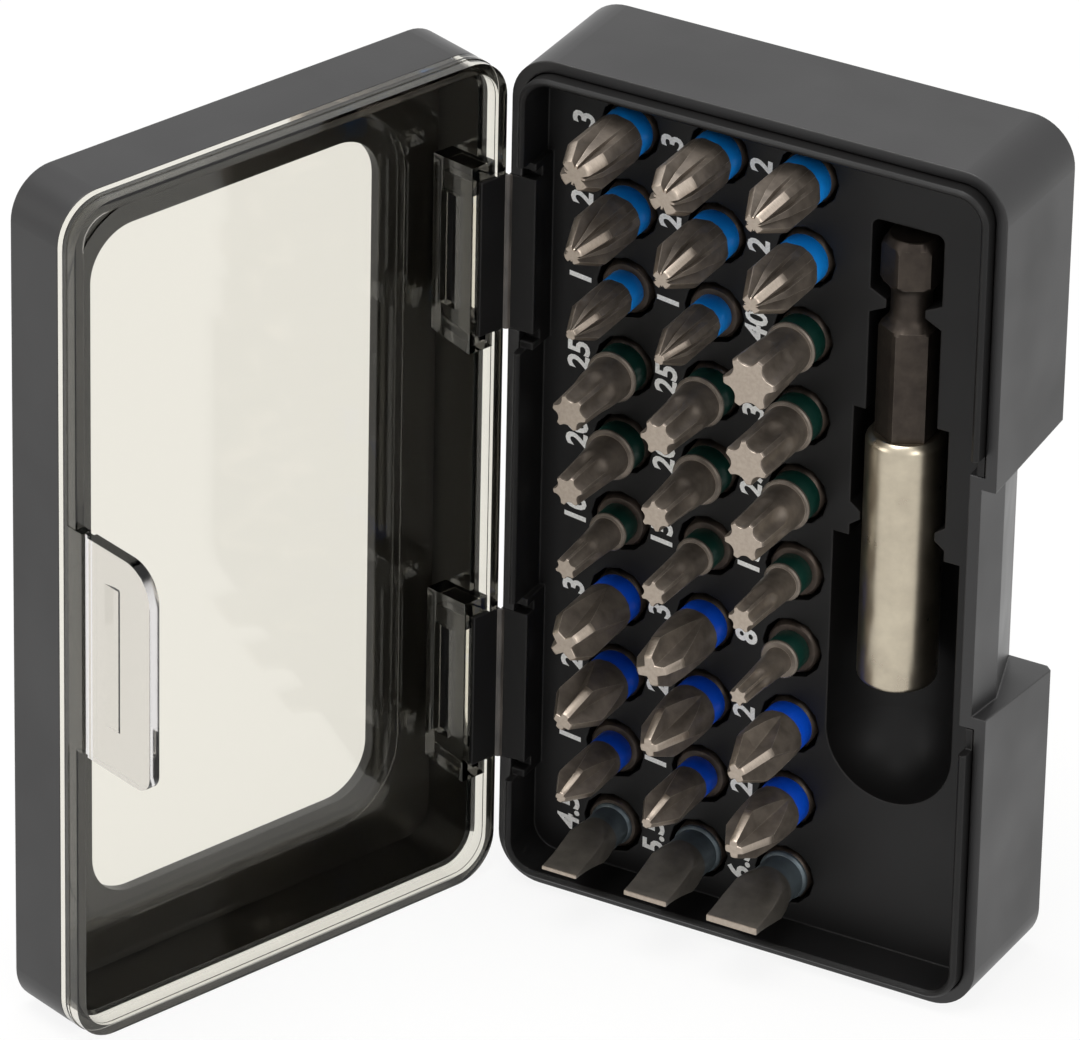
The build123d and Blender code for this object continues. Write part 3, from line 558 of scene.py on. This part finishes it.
# How far each head is turned against its hexagon, in degrees, which differs from bit to bit.
HEAD_TURNS = {
    "bit_1_01_pz3": 33, "bit_1_02_pz2": 32, "bit_1_03_pz1": 40, "bit_1_07_ph3": 40,
    "bit_1_08_ph2": 65, "bit_1_09_ph1": 72, "bit_2_01_pz3": 35, "bit_2_02_pz2": 52,
    "bit_2_03_pz1": 30, "bit_2_07_ph3": 15, "bit_2_08_ph2": 12, "bit_2_09_ph1": 70,
    "bit_3_01_pz2": 50, "bit_3_02_pz2": 47, "bit_3_08_ph2": 32, "bit_3_09_ph2": 5,
    "bit_1_04_t25": 21, "bit_1_05_t20": 41, "bit_1_06_t10": 49, "bit_2_04_t25": 35,
    "bit_2_05_t20": 10, "bit_2_06_t15": 58, "bit_3_03_t40": 35, "bit_3_04_t30": 9,
    "bit_3_05_t27": 37, "bit_3_06_t15": 28, "bit_3_07_t8": 11,
}
FLUTE_LENGTH = {"ph": 9.6, "pz": 8.8}
FLUTE_HALF_ANGLE = radians(55)
# The turn over which a flute's root is rounded, and a rib's height in its flute.
FLUTE_ROOT = radians(1.2)
RIB_HEIGHT = 0.45
TIP_CHAMFER = 0.22
STAR_CHAMFER = 0.3
# The ring's seat ends this far along the head, and a star's collar goes on from there.
RING_END = 2.7
COLLAR_LENGTH = 0.55
# The head and the ring start a little before the shank's end, and the ring lies a little
# below the head's own surface.
HEAD_OVERLAP = 0.15
RING_OVERLAP = 0.1
RING_INSET = {LARGE_HEAD: 0.13, SMALL_HEAD: 0.02}
# Across the lobes of each star.
STAR_WIDTH = {
    "t40": 6.65, "t30": 5.52, "t27": 4.98, "t25": 4.43,
    "t20": 3.86, "t15": 3.27, "t10": 2.74, "t8": 2.31,
}
# A star's valleys and the round cutter that grooves it, as shares of its outer radius, and
# the radius of the wheel's path that ends each groove, in mm.
STAR_VALLEY = 0.72
STAR_CUTTER = 0.44
LOBE_ROUNDING = 0.12
GROOVE_WHEEL = 4.5
RUN_OUT_STEPS = 14
# Width and thickness of each flat bit's tip.
BLADES = {"sl45": (4.5, 0.5), "sl55": (5.5, 0.65), "sl65": (6.5, 0.85)}
BLADE_COLLAR = 0.3
BLADE_NECK_LENGTH = 3.4
# Blades and stars that are wider than this have a wider head.
WIDE_BLADE = 5.0
WIDE_STAR = 3.8
# The material slots of a bit.
COATED, GROUND, DARK, NECK = 0, 1, 2, 3


def head_radius(kind):
    """Radius of a bit's round head, in mm."""
    if kind.startswith("sl"):
        return SLOTTED_HEAD if BLADES[kind][0] > WIDE_BLADE else SMALL_HEAD
    if kind.startswith("t"):
        return LARGE_HEAD if STAR_WIDTH[kind] > WIDE_STAR else SMALL_HEAD
    return SMALL_HEAD if kind[-1] == "1" else LARGE_HEAD


class BitPlace:
    """The axis of one bit in the tray, from its shank end to its tip, in mm."""

    def __init__(self, node):
        low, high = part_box(node)
        self.node = node
        self.middle = ((low.x + high.x) / 2, (low.z + high.z) / 2)
        self.end = high.y
        self.length = (high.y - low.y) / MM

    def section(self, points, along):
        """Points of a section across the bit, at a length along it."""
        return [
            (self.middle[0] + u * MM, self.end - along * MM, self.middle[1] + v * MM)
            for u, v in points
        ]


def flute_floor(land, radius):
    """How far from the axis a flute's floor lies where the wing's land has a half width."""
    lean = FLUTE_HALF_ANGLE - pi / 4 + asin(land / radius)
    return radius * sin(lean) / sin(FLUTE_HALF_ANGLE)


def ph_flute(radius, floor):
    """(angle, radius) pairs across an open V flute, from its middle line."""
    reach = floor * sin(FLUTE_HALF_ANGLE) / radius
    least = radians(3)
    half = max(FLUTE_HALF_ANGLE - asin(reach), least) if reach < 1 else least
    pairs = []
    for share in (0.0, 0.06, 0.25, 0.5, 0.75, 0.94, 1.0):
        angle = half * share
        soft = min(hypot(angle, FLUTE_ROOT), FLUTE_HALF_ANGLE - 0.01)
        wall = floor * sin(FLUTE_HALF_ANGLE) / sin(FLUTE_HALF_ANGLE - soft)
        pairs.append((angle, min(wall, radius)))
    return pairs


def pz_flute(radius, floor, land, rib):
    """(angle, radius) pairs across a flat-topped rib and the groove beside it."""
    edge = pi / 4 - asin(min(land / radius, 0.7))
    trough = min(floor, radius)
    crest = trough + (radius - trough) * RIB_HEIGHT
    side = min(radians(5), (edge - rib) * 0.6)
    flat = crest * cos(rib)
    pairs = [(rib * share, flat / cos(rib * share)) for share in (0.0, 0.5, 0.93)]
    pairs += [(rib, crest * 0.985), (rib + side, trough)]
    pairs += [(edge - (edge - rib - side) * 0.07, radius * 0.985), (edge, radius)]
    return pairs


def winged_outline(pairs, radius, turn):
    """A section with four wings: its points, and which sides of it are wing lands."""
    flute = [(-angle, reach) for angle, reach in reversed(pairs[1:])] + pairs
    meet = pairs[-1][0]
    width = pi / 2 - 2 * meet
    lands = [(meet + width * share, radius) for share in (0.06, 0.3, 0.5, 0.7, 0.94)]
    points, is_land = [], []
    for quarter in range(4):
        middle = pi / 4 + quarter * pi / 2 + turn
        for angle, reach in flute + lands:
            points.append((reach * cos(middle + angle), reach * sin(middle + angle)))
        is_land += [False] * (len(flute) - 1) + [True] * (len(lands) + 1)
    return points, is_land


def add_cross_head(bm, place, kind, start):
    """The head of a cross bit: round, then fluted to a tapered tip with ground lands."""
    length, head = place.length, head_radius(kind)
    turn = radians(HEAD_TURNS[place.node])
    tip, land = CROSS_TIP[kind[-1]], LAND_HALF_WIDTH[kind]
    cone = (head - tip) / tan(CROSS_TIP_HALF_ANGLE)
    flute = FLUTE_LENGTH[kind[:2]]
    top = TIP_CHAMFER + cone
    if kind.startswith("ph"):
        near, wide = flute_floor(land, tip), flute_floor(land * 1.15, head)
    else:
        near = land * sqrt(2)
        wide = near + (head - near) * (cone / flute)
    collar = length - start - RING_END
    # Distances from the tip at which the head has a section.
    lefts = [0.0, 0.1, TIP_CHAMFER] + [TIP_CHAMFER + cone * s for s in (0.2, 0.4, 0.6, 0.8)]
    lefts += [top - 0.02, top + 0.12]
    lefts += [top + (flute - top) * s for s in (0.15, 0.3, 0.45, 0.6, 0.72, 0.82, 0.9, 0.96, 1.0)]
    lefts += [flute + 0.3, collar - 0.12, collar, collar + 0.01, length - start]
    sections, land_bands, is_land = [], [], []
    for left in sorted(lefts, reverse=True):
        radius = head
        if left > collar:
            radius = head - RING_SEAT
        elif left == collar:
            radius = head - 0.08
        if left < top:
            radius = tip + (head - tip) * max(left - TIP_CHAMFER, 0) / cone
        scale = 1.0
        if left < TIP_CHAMFER:
            scale = 0.86 + 0.14 * sin(pi / 2 * left / TIP_CHAMFER)
        if left < top:
            floor = near + (wide - near) * max(left - TIP_CHAMFER, 0) / cone
        else:
            floor = wide + (head - wide) * min((left - top) / (flute - top), 1.05)
        if kind.startswith("ph"):
            pairs = ph_flute(radius, floor)
        else:
            share = min(left / flute, 1.0)
            pairs = pz_flute(radius, floor, land, radians(5 + 13 * share ** 0.8))
        points, is_land = winged_outline(pairs, radius, turn)
        points = [(u * scale, v * scale) for u, v in points]
        sections.append(place.section(points, length - left))
        land_bands.append(left <= top)
    last = len(sections) - 2

    def finish_of(band, side):
        if band == last or (land_bands[band] and is_land[side]):
            return GROUND
        return COATED

    lofted(bm, sections, finish_of, cap_finish=GROUND)


def star_groove(angle, valley, cutter):
    """How far from the axis the nearest round groove's wall lies, or None between grooves."""
    aside = abs((angle + pi / 6) % (pi / 3) - pi / 6)
    centre = valley + cutter
    if centre * sin(aside) >= cutter:
        return None
    return centre * cos(aside) - sqrt(cutter ** 2 - (centre * sin(aside)) ** 2)


def star_section(body, outer, rise, turn):
    """Points of a round body with six grooves whose floor has risen by some amount."""
    rounding = LOBE_ROUNDING * outer
    points = []
    for i in range(STAR_COUNT):
        angle = 2 * pi * i / STAR_COUNT
        wall = star_groove(angle, STAR_VALLEY * outer, STAR_CUTTER * outer)
        radius = body
        if wall is not None:
            soft = max(rounding - abs(body - wall - rise), 0) / rounding
            radius = min(body, wall + rise) - soft ** 2 * rounding / 4
        points.append((radius * cos(angle + turn), radius * sin(angle + turn)))
    return points


def add_star_head(bm, place, kind, start):
    """The head of a six-lobed bit: a collar, a waisted cone and a star with long run-outs."""
    length, head, outer = place.length, head_radius(kind), STAR_WIDTH[kind] / 2
    turn = radians(HEAD_TURNS[place.node])
    collar = length - start - RING_END
    neck = collar - COLLAR_LENGTH
    # The body is a little wider than the star, where that leaves a step below the collar.
    body = min(head - 0.4, outer * 1.2 + 0.25)
    # The grooves are parallel for a while, then run out along the path of the wheel.
    straight = 2.2 + 0.6 * outer
    run_out = sqrt(2 * GROOVE_WHEEL * (body - STAR_VALLEY * outer))
    plain = neck - 0.6
    # The collar has a small chamfer at each end.
    chamfers = {collar: 0.06, collar - 0.5: 0.15}
    # Distances from the tip at which the head has a section.
    lefts = [length - start, collar + 0.01, collar, collar - 0.08, collar - 0.35, collar - 0.5]
    lefts += [neck, plain, 1.5, STAR_CHAMFER, 0.14, 0.04, 0.0]
    lefts += [straight + run_out * step / RUN_OUT_STEPS for step in range(RUN_OUT_STEPS + 1)]
    sections = []
    for left in sorted(set(lefts), reverse=True):
        reach = outer + (body - outer) * min(left / neck, 1) ** 1.3
        rise = 0.0
        if left > straight:
            along = min(left - straight, GROOVE_WHEEL)
            rise = GROOVE_WHEEL - sqrt(GROOVE_WHEEL ** 2 - along ** 2)
        if left > collar:
            reach = head - RING_SEAT
        elif left > neck:
            reach = head - chamfers.get(left, 0)
        if left > plain:
            rise = GROOVE_WHEEL
        scale = 1.0
        if left < STAR_CHAMFER:
            scale = 0.93 + 0.07 * sin(pi / 2 * left / STAR_CHAMFER)
        points = star_section(reach, outer, rise, turn)
        sections.append(place.section([(u * scale, v * scale) for u, v in points], length - left))
    last = len(sections) - 2
    lofted(bm, sections, lambda band, side: GROUND if band == last else COATED, cap_finish=GROUND)


def add_slotted_head(bm, place, kind, start):
    """The head of a flat bit: a collar and a round neck that is scooped into a blade."""
    length, head = place.length, head_radius(kind)
    half, edge = BLADES[kind][0] / 2, BLADES[kind][1] / 2
    collar = head + BLADE_COLLAR
    waist = start + BLADE_NECK_LENGTH
    stations = [
        (start, collar, collar, collar), (start + 0.3, collar, collar, collar),
        (start + 0.45, collar - 0.08, collar - 0.08, collar - 0.08),
        (start + 0.6, head, head, head), (waist - 0.4, head, head, head),
    ]
    for share in (0.0, 0.15, 0.3, 0.45, 0.6, 0.75, 0.9, 1.0):
        wide = head + (half - head) * min(share * 1.6, 1.0) ** 0.8
        thick = edge + (head - edge) * (1 - share) ** 1.6 + 0.12 * (1 - share)
        stations.append((
            waist + (length - 0.12 - waist) * share, wide, min(thick, head),
            max(min(thick, wide) * (1 - share * 3), 0.12),
        ))
    stations.append((length, half - 0.05, edge - 0.05, 0.08))
    sections = [
        place.section(rounded_box_points(wide, thick, corner, BLADE_COUNT), along)
        for along, wide, thick, corner in stations
    ]
    last = len(sections) - 2

    def finish_of(band, side):
        if band == last:
            return GROUND
        return NECK if band < 5 else COATED

    lofted(bm, sections, finish_of, cap_finish=GROUND)


def add_bit_shank(bm, place, settings):
    """The hexagon shank with a chamfer at each end."""
    flats, length = settings.across_flats / MM, settings.shank_length / MM
    stations = (
        (0.0, 3.05), (0.35, CORNER_REACH), (length - 1.25, CORNER_REACH), (length - 0.9, 3.4),
        (length - 0.6, 3.25), (length - 0.3, 3.12), (length - 0.1, 2.95), (length, 2.6),
    )
    sections = [
        place.section(hexagon_points(flats, limit, HEX_COUNT), along) for along, limit in stations
    ]
    lofted(bm, sections, lambda band, side: DARK, cap_finish=DARK)


def build_bit(node, settings, materials):
    """One driver bit as a detailed piece in place of its CAD node."""
    kind = node.rsplit("_", 1)[1]
    place = BitPlace(node)
    start = settings.shank_length / MM - HEAD_OVERLAP
    bm = bmesh.new()
    add_bit_shank(bm, place, settings)
    if kind.startswith("sl"):
        add_slotted_head(bm, place, kind, start)
    elif kind.startswith("t"):
        add_star_head(bm, place, kind, start)
    else:
        add_cross_head(bm, place, kind, start)
    mesh = finished_mesh(bm, node, sharp_degrees=28)
    piece = new_object(f"{node}_steel", mesh, BODY_OF_NODE[node], *materials)
    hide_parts(node)


class CASE_OT_bits(bpy.types.Operator):
    """Build the thirty driver bits"""

    bl_idname = "bit_case.bits"
    bl_label = "Driver bits"

    def execute(self, context):
        settings = context.scene.bit_settings
        ground = ground_steel("ground_tool_steel", settings.ground_colour)
        coated = coated_steel("phosphated_tool_steel", settings.steel_colour, "#625A52")
        dark = coated_steel(
            "blackened_shank_steel", "#4A4039", "#332D28", metallic=0.7, edge_colour="#6E6358",
        )
        blade = coated_steel(
            "blackened_blade_steel", settings.blade_colour, "#57534D", metallic=0.6,
        )
        neck = coated_steel(
            "blued_neck_steel", "#626D73", "#545D62", metallic=0.5, edge_colour="#858D92",
        )
        for node in BIT_NODES:
            head = blade if "_sl" in node else coated
            build_bit(node, settings, (head, ground, dark, neck))
        return {"FINISHED"}


class CASE_OT_rings(bpy.types.Operator):
    """Build the colour rings of the cross and six-lobed bits"""

    bl_idname = "bit_case.rings"
    bl_label = "Colour rings"

    def execute(self, context):
        settings = context.scene.bit_settings
        finishes = {
            "pz": ring_polyamide("polyamide_light_blue", settings.ribbed_colour),
            "ph": ring_polyamide("polyamide_dark_blue", settings.cross_colour),
            "t": ring_polyamide("polyamide_dark_green", settings.star_colour),
        }
        for node in BIT_NODES:
            kind = node.rsplit("_", 1)[1]
            family = kind[:2] if kind[:2] in finishes else kind[:1]
            if family not in finishes:
                continue
            place = BitPlace(node)
            head = head_radius(kind)
            start = settings.shank_length / MM - RING_OVERLAP
            length = settings.ring_length / MM
            outer = head - RING_INSET[head]
            profile = (
                (head - RING_DEPTH, start), (outer - 0.07, start), (outer, start + 0.1),
                (outer, start + length - 0.1), (outer - 0.04, start + length),
                (head - RING_DEPTH, start + length),
            )
            bm = bmesh.new()
            sections = [
                place.section(circle_points(radius, RING_COUNT), along)
                for radius, along in profile
            ]
            lofted(bm, sections, close=True)
            mesh = finished_mesh(bm, f"{node}_ring", sharp_degrees=40)
            ring = new_object(f"{node}_ring", mesh, BODY_OF_NODE[node], finishes[family])
        return {"FINISHED"}


# ---- bit holder ----------------------------------------------------------------------
# The holder lies in its cavity with a corner of its hexagon to the front.
HOLDER_TURN = radians(30)
# Points round each section of the holder; a multiple of twelve keeps the corners sharp.
HOLDER_COUNT = 96
# How much wider the sleeve's bore is than the hexagon, in mm.
BORE_FIT = 0.1


def level_section(middle, points, height):
    """Points of a section round the holder's upright axis."""
    return [(middle.x + u * MM, middle.y + v * MM, height) for u, v in points]


class CASE_OT_holder(bpy.types.Operator):
    """Build the magnetic bit holder"""

    bl_idname = "bit_case.holder"
    bl_label = "Bit holder"

    def execute(self, context):
        self.build_sleeve()
        self.build_shank(context.scene.bit_settings)
        dress("holder_magnet", nickel_plate("nickel_plated_magnet"))
        dress("holder_retaining_ring", spring_steel("drawn_spring_steel"))
        return {"FINISHED"}

    def build_sleeve(self):
        low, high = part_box("holder_sleeve")
        middle = (low + high) / 2
        outer = (high.x - low.x) / 2 / MM
        flats = DRIVE_FLATS + BORE_FIT
        stations = (
            (outer - 0.55, 0.0, 0), (outer - 0.3, 0.08, 0), (outer - 0.06, 0.4, 0),
            (outer, 0.7, 0), (outer, -1.0, 1), (outer - 0.08, -0.72, 1), (outer - 0.55, -0.08, 1),
            (outer - 0.7, 0.0, 1),
        )
        sections = []
        for radius, along, from_top in stations:
            height = (high.z if from_top else low.z) + along * MM
            sections.append(level_section(middle, circle_points(radius, HOLDER_COUNT), height))
        bore = (
            (3.66, high.z), (3.5, high.z - 0.5 * MM), (3.7, low.z + 0.6 * MM), (3.85, low.z),
        )
        for limit, height in bore:
            points = hexagon_points(flats, limit, HOLDER_COUNT, HOLDER_TURN)
            sections.append(level_section(middle, points, height))
        bm = bmesh.new()
        lofted(bm, sections, close=True)
        piece = new_object(
            "holder_sleeve_turned", finished_mesh(bm, "holder_sleeve_turned", sharp_degrees=28),
            BODY_OF_NODE["holder_sleeve"], turned_steel("turned_stainless_steel", "#C6BCA8"),
        )
        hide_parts("holder_sleeve")

    def build_shank(self, settings):
        low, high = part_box("holder_shank")
        middle = (low + high) / 2
        top = (high.z - low.z) / MM
        # The catch groove, where the balls of a quick-change chuck hold the shank.
        neck, groove_low, groove_high = 2.35, top - 11.3, top - 5.7
        profile = (
            (0.0, 3.3), (0.3, CORNER_REACH), (groove_low - 0.25, CORNER_REACH),
            (groove_low + 0.05, 3.35), (groove_low + 0.6, 2.75), (groove_low + 1.2, 2.42),
            (groove_low + 1.7, neck), (groove_high - 1.7, neck), (groove_high - 1.2, 2.42),
            (groove_high - 0.6, 2.75), (groove_high - 0.05, 3.35),
            (groove_high + 0.25, CORNER_REACH), (top - 1.25, CORNER_REACH), (top - 0.9, 3.4),
            (top - 0.1, 2.85), (top, 2.7),
        )
        flats = settings.across_flats / MM
        sections = []
        for along, limit in profile:
            points = hexagon_points(flats, limit, HOLDER_COUNT, HOLDER_TURN)
            sections.append(level_section(middle, points, low.z + along * MM))
        bm = bmesh.new()
        lofted(bm, sections)
        piece = new_object(
            "holder_shank_milled", finished_mesh(bm, "holder_shank_milled", sharp_degrees=24),
            BODY_OF_NODE["holder_shank"],
            coated_steel(
                "blackened_drive_shank", "#433C36", "#332D29", metallic=0.85,
                edge_colour="#8F867C",
            ),
        )
        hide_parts("holder_shank")


# ---- mouldings -----------------------------------------------------------------------
class CASE_OT_mouldings(bpy.types.Operator):
    """Finish the black shells, the tray and the clear lid parts"""

    bl_idname = "bit_case.mouldings"
    bl_label = "Plastic mouldings"

    def execute(self, context):
        settings = context.scene.moulding_settings
        shell = moulded_abs(
            "moulded_abs_shell", settings.shell_colour, settings.grain, settings.edge_radius,
            specular=0.52, roughness=0.4,
        )
        tray = moulded_abs(
            "moulded_abs_tray", settings.tray_colour, settings.grain, settings.edge_radius,
            specular=0.26, roughness=0.5,
        )
        clear = clear_polystyrene("clear_polystyrene", settings.clear_colour)
        tab = clear_polystyrene("clear_polystyrene_tab", settings.tab_colour)
        dress("base_shell", shell)
        dress("lid_cover", shell)
        dress("bit_tray", tray)
        dress("hinge_clip_lower", tray)
        dress("hinge_clip_upper", tray)
        dress("clear_insert", clear)
        dress("latch_tab", tab)
        return {"FINISHED"}


# How far a film reaches to each side of the fold line, in mm.
FILM_REACH = 0.5


class CASE_OT_films(bpy.types.Operator):
    """Build the two folding films between the tray and the lid clips"""

    bl_idname = "bit_case.films"
    bl_label = "Hinge films"

    def execute(self, context):
        material = folded_polypropylene("folded_polypropylene")
        hinge = JOINTS["lid_hinge"]
        axis = Vector(hinge["pos_m"])
        # At rest the lid stands open by the turn that shuts it.
        open_turn = hinge["range_deg"][1]
        base_way = Vector((1, 0, 0))
        lid_way = Vector((0, -1, 0))
        lid_way.rotate(Matrix.Rotation(-radians(open_turn - 90), 3, "Z"))
        for name in ("lower", "upper"):
            low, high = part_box(f"hinge_clip_{name}")
            loops = []
            for share in (0.0, 0.12, 0.25, 0.38, 0.5, 0.62, 0.75, 0.88, 1.0):
                chord = base_way * (1 - share) + lid_way * share
                front = chord * FILM_REACH * (1 + 0.5 * sin(pi * share) ** 2)
                back = chord * FILM_REACH * (0.35 if 0 < share < 1 else 0.85)
                corners = ((front, low.z), (front, high.z), (back, high.z), (back, low.z))
                loops.append([
                    (axis.x + out.x * MM, axis.y + out.y * MM, end) for out, end in corners
                ])
            bm = bmesh.new()
            lofted(bm, loops)
            mesh = finished_mesh(bm, f"hinge_film_{name}", sharp_degrees=40)
            film = placed(f"hinge_film_{name}", mesh)
            mesh.materials.append(material)
            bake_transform(film)
        return {"FINISHED"}


# The printed numbers: their height, extra stroke and slant, how far they stand beside and
# below the bit's axis, and the ink's thickness and its lift off the deck, in mm.
NUMBER_HEIGHT = 3.8
NUMBER_WEIGHT = 0.11
NUMBER_SLANT = 0.12
NUMBER_ASIDE = 5.75
NUMBER_DROP = 0.3
INK_THICKNESS = 0.01
INK_LIFT = 0.02


class CASE_OT_labels(bpy.types.Operator):
    """Print the plain size numbers beside the bits"""

    bl_idname = "bit_case.labels"
    bl_label = "Size numbers"

    def execute(self, context):
        material = pad_printed_ink("pad_printed_ink")
        deck = self.deck_height()
        for node in BIT_NODES:
            kind = node.rsplit("_", 1)[1]
            number = kind.lstrip("pzhtsl")
            if kind.startswith("sl"):
                number = f"{number[0]}.{number[1]}"
            place = BitPlace(node)
            text = bpy.data.curves.new(f"{node}_number", "FONT")
            text.body = number
            text.size = NUMBER_HEIGHT * MM
            text.offset = NUMBER_WEIGHT * MM
            text.shear = NUMBER_SLANT
            text.extrude = INK_THICKNESS * MM
            text.resolution_u = 3
            text.align_x = "CENTER"
            text.align_y = "CENTER"
            label = placed(f"{node}_label", text)
            text.materials.append(material)
            turn = Matrix(((0, -1, 0), (0, 0, -1), (1, 0, 0))).to_4x4()
            spot = Vector((
                place.middle[0] - NUMBER_ASIDE * MM, deck - INK_LIFT * MM,
                place.middle[1] - NUMBER_DROP * MM,
            ))
            label.matrix_world = Matrix.Translation(spot) @ turn
            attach(label, "base")
        return {"FINISHED"}

    def deck_height(self):
        """Where the tray's deck lies: the level that most of its flat faces share."""
        mesh = frame["nodes"]["bit_tray"].data
        areas = {}
        for face in mesh.polygons:
            if face.normal.y < -0.99:
                level = round(face.center.y, 5)
                areas[level] = areas.get(level, 0) + face.area
        return max(areas, key=areas.get)


# ---- stage ---------------------------------------------------------------------------
# The camera's sensor in mm, the floor in metres, the share of the floor's white that shadow
# doesn't dim, and the strength of the white surroundings as a light.
SENSOR_WIDTH = 36.0
FLOOR_HALF_SIZE = 3.0
FLOOR_GAP = 0.05 * MM
CARD_GLOW = 0.88
SKY_LIGHT = 0.55


class CASE_OT_stage(bpy.types.Operator):
    """Set up the camera, the lamps and the pale floor"""

    bl_idname = "bit_case.stage"
    bl_label = "Studio"

    def execute(self, context):
        settings = context.scene.studio_settings
        centre = (CASE_LOW + CASE_HIGH) / 2
        self.place_camera(context, settings, centre + Vector(settings.aim_offset))
        self.place_lamps(centre)
        self.place_floor(settings)
        self.set_world(context)
        context.scene.view_settings.view_transform = "Standard"
        return {"FINISHED"}

    def place_camera(self, context, settings, aim):
        away = Vector((
            cos(settings.elevation) * cos(settings.azimuth),
            cos(settings.elevation) * sin(settings.azimuth),
            sin(settings.elevation),
        ))
        right = Vector((-sin(settings.azimuth), cos(settings.azimuth), 0))
        up = away.cross(right)
        roll = settings.roll
        across = right * cos(roll) + up * sin(roll)
        upward = up * cos(roll) - right * sin(roll)
        camera = bpy.data.cameras.new("studio_camera")
        camera.sensor_width = SENSOR_WIDTH
        camera.sensor_fit = "HORIZONTAL"
        camera.lens = settings.lens
        camera.clip_start = 0.01
        holder = placed("studio_camera", camera)
        turn = Matrix((across, upward, away)).transposed().to_4x4()
        holder.matrix_world = Matrix.Translation(aim + away * settings.distance) @ turn
        context.scene.camera = holder

    def place_lamps(self, centre):
        lamps = (
            # name, place from the centre, size, power, colour
            ("overhead_softbox", (-0.10, -0.10, 0.80), 0.6, 6.0, "#FFFFFF"),
            ("front_left_softbox", (-0.75, -0.85, 0.45), 0.5, 2.2, "#FFFDF8"),
            ("right_softbox", (0.85, -0.45, 0.55), 0.4, 2.2, "#FFFEFC"),
        )
        for name, offset, size, power, colour in lamps:
            light = bpy.data.lights.new(name, "AREA")
            light.shape = "SQUARE"
            light.size = size
            light.energy = power
            light.color = linear(colour)[:3]
            lamp = placed(name, light)
            lamp.location = centre + Vector(offset)
            lamp.rotation_euler = Vector(offset).to_track_quat("Z", "Y").to_euler()

    def place_floor(self, settings):
        bm = bmesh.new()
        bmesh.ops.create_grid(bm, x_segments=1, y_segments=1, size=FLOOR_HALF_SIZE)
        mesh = bpy.data.meshes.new("studio_floor")
        bm.to_mesh(mesh)
        bm.free()
        floor = placed("studio_floor", mesh)
        floor.location = (0, 0, CASE_LOW.z - FLOOR_GAP)
        mesh.materials.append(self.floor_material(settings))

    def floor_material(self, settings):
        """Matt white card that shows white to the camera and keeps a soft shadow."""
        material = bpy.data.materials.new("white_card")
        material.use_nodes = True
        tree = material.node_tree
        tree.nodes.clear()
        card = add(tree, "ShaderNodeBsdfDiffuse", Color=linear(settings.floor_colour))
        glow = add(tree, "ShaderNodeEmission", Color=(1, 1, 1, 1), Strength=1.0)
        path = add(tree, "ShaderNodeLightPath")
        seen = self.seen_rays(tree, path)
        share = add(tree, "ShaderNodeMath", {"operation": "MULTIPLY"}, _0=seen, _1=CARD_GLOW)
        mix = add(
            tree, "ShaderNodeMixShader", Fac=share.outputs["Value"], _1=card.outputs["BSDF"],
            _2=glow.outputs["Emission"],
        )
        add(tree, "ShaderNodeOutputMaterial", Surface=mix.outputs["Shader"])
        return material

    def seen_rays(self, tree, path):
        """1 for camera, glossy and transmission rays, 0 for the rays that carry light."""
        seen = path.outputs["Is Camera Ray"]
        for name in ("Is Glossy Ray", "Is Transmission Ray"):
            seen = add(
                tree, "ShaderNodeMath", {"operation": "MAXIMUM"}, _0=seen, _1=path.outputs[name]
            ).outputs["Value"]
        return seen

    def set_world(self, context):
        world = bpy.data.worlds.new("studio_world")
        context.scene.world = world
        world.use_nodes = True
        tree = world.node_tree
        tree.nodes.clear()
        path = add(tree, "ShaderNodeLightPath")
        seen = self.seen_rays(tree, path)
        strength = add(
            tree, "ShaderNodeMapRange", Value=seen, To_Min=SKY_LIGHT, To_Max=1.0
        ).outputs["Result"]
        sky = add(tree, "ShaderNodeBackground", Color=(1, 1, 1, 1), Strength=strength)
        add(tree, "ShaderNodeOutputWorld", Surface=sky.outputs["Background"])


# ---- panel and registration ----------------------------------------------------------
class CASE_PT_panel(bpy.types.Panel):
    """Lists the steps that dress the case"""

    bl_label = "Driver Bit Case"
    bl_space_type = "VIEW_3D"
    bl_region_type = "UI"
    bl_category = "Bit Case"

    def draw(self, context):
        layout = self.layout
        for step in STEPS:
            layout.operator(step.bl_idname)
        for group in ("moulding_settings", "bit_settings", "studio_settings"):
            settings = getattr(context.scene, group)
            box = layout.box()
            for name in settings.__annotations__:
                box.prop(settings, name)


STEPS = (
    CASE_OT_stage, CASE_OT_mouldings, CASE_OT_films, CASE_OT_bits, CASE_OT_rings,
    CASE_OT_holder, CASE_OT_labels,
)
CLASSES = (MouldingSettings, BitSettings, StudioSettings) + STEPS + (CASE_PT_panel,)


def register():
    for item in CLASSES:
        bpy.utils.register_class(item)
    bpy.types.Scene.moulding_settings = bpy.props.PointerProperty(type=MouldingSettings)
    bpy.types.Scene.bit_settings = bpy.props.PointerProperty(type=BitSettings)
    bpy.types.Scene.studio_settings = bpy.props.PointerProperty(type=StudioSettings)


def unregister():
    del bpy.types.Scene.studio_settings
    del bpy.types.Scene.bit_settings
    del bpy.types.Scene.moulding_settings
    for item in reversed(CLASSES):
        bpy.utils.unregister_class(item)


def main():
    """Register, and build every piece in order."""
    register()
    for step in STEPS:
        group, name = step.bl_idname.split(".")
        getattr(getattr(bpy.ops, group), name)()


if __name__ == "__main__":
    main()
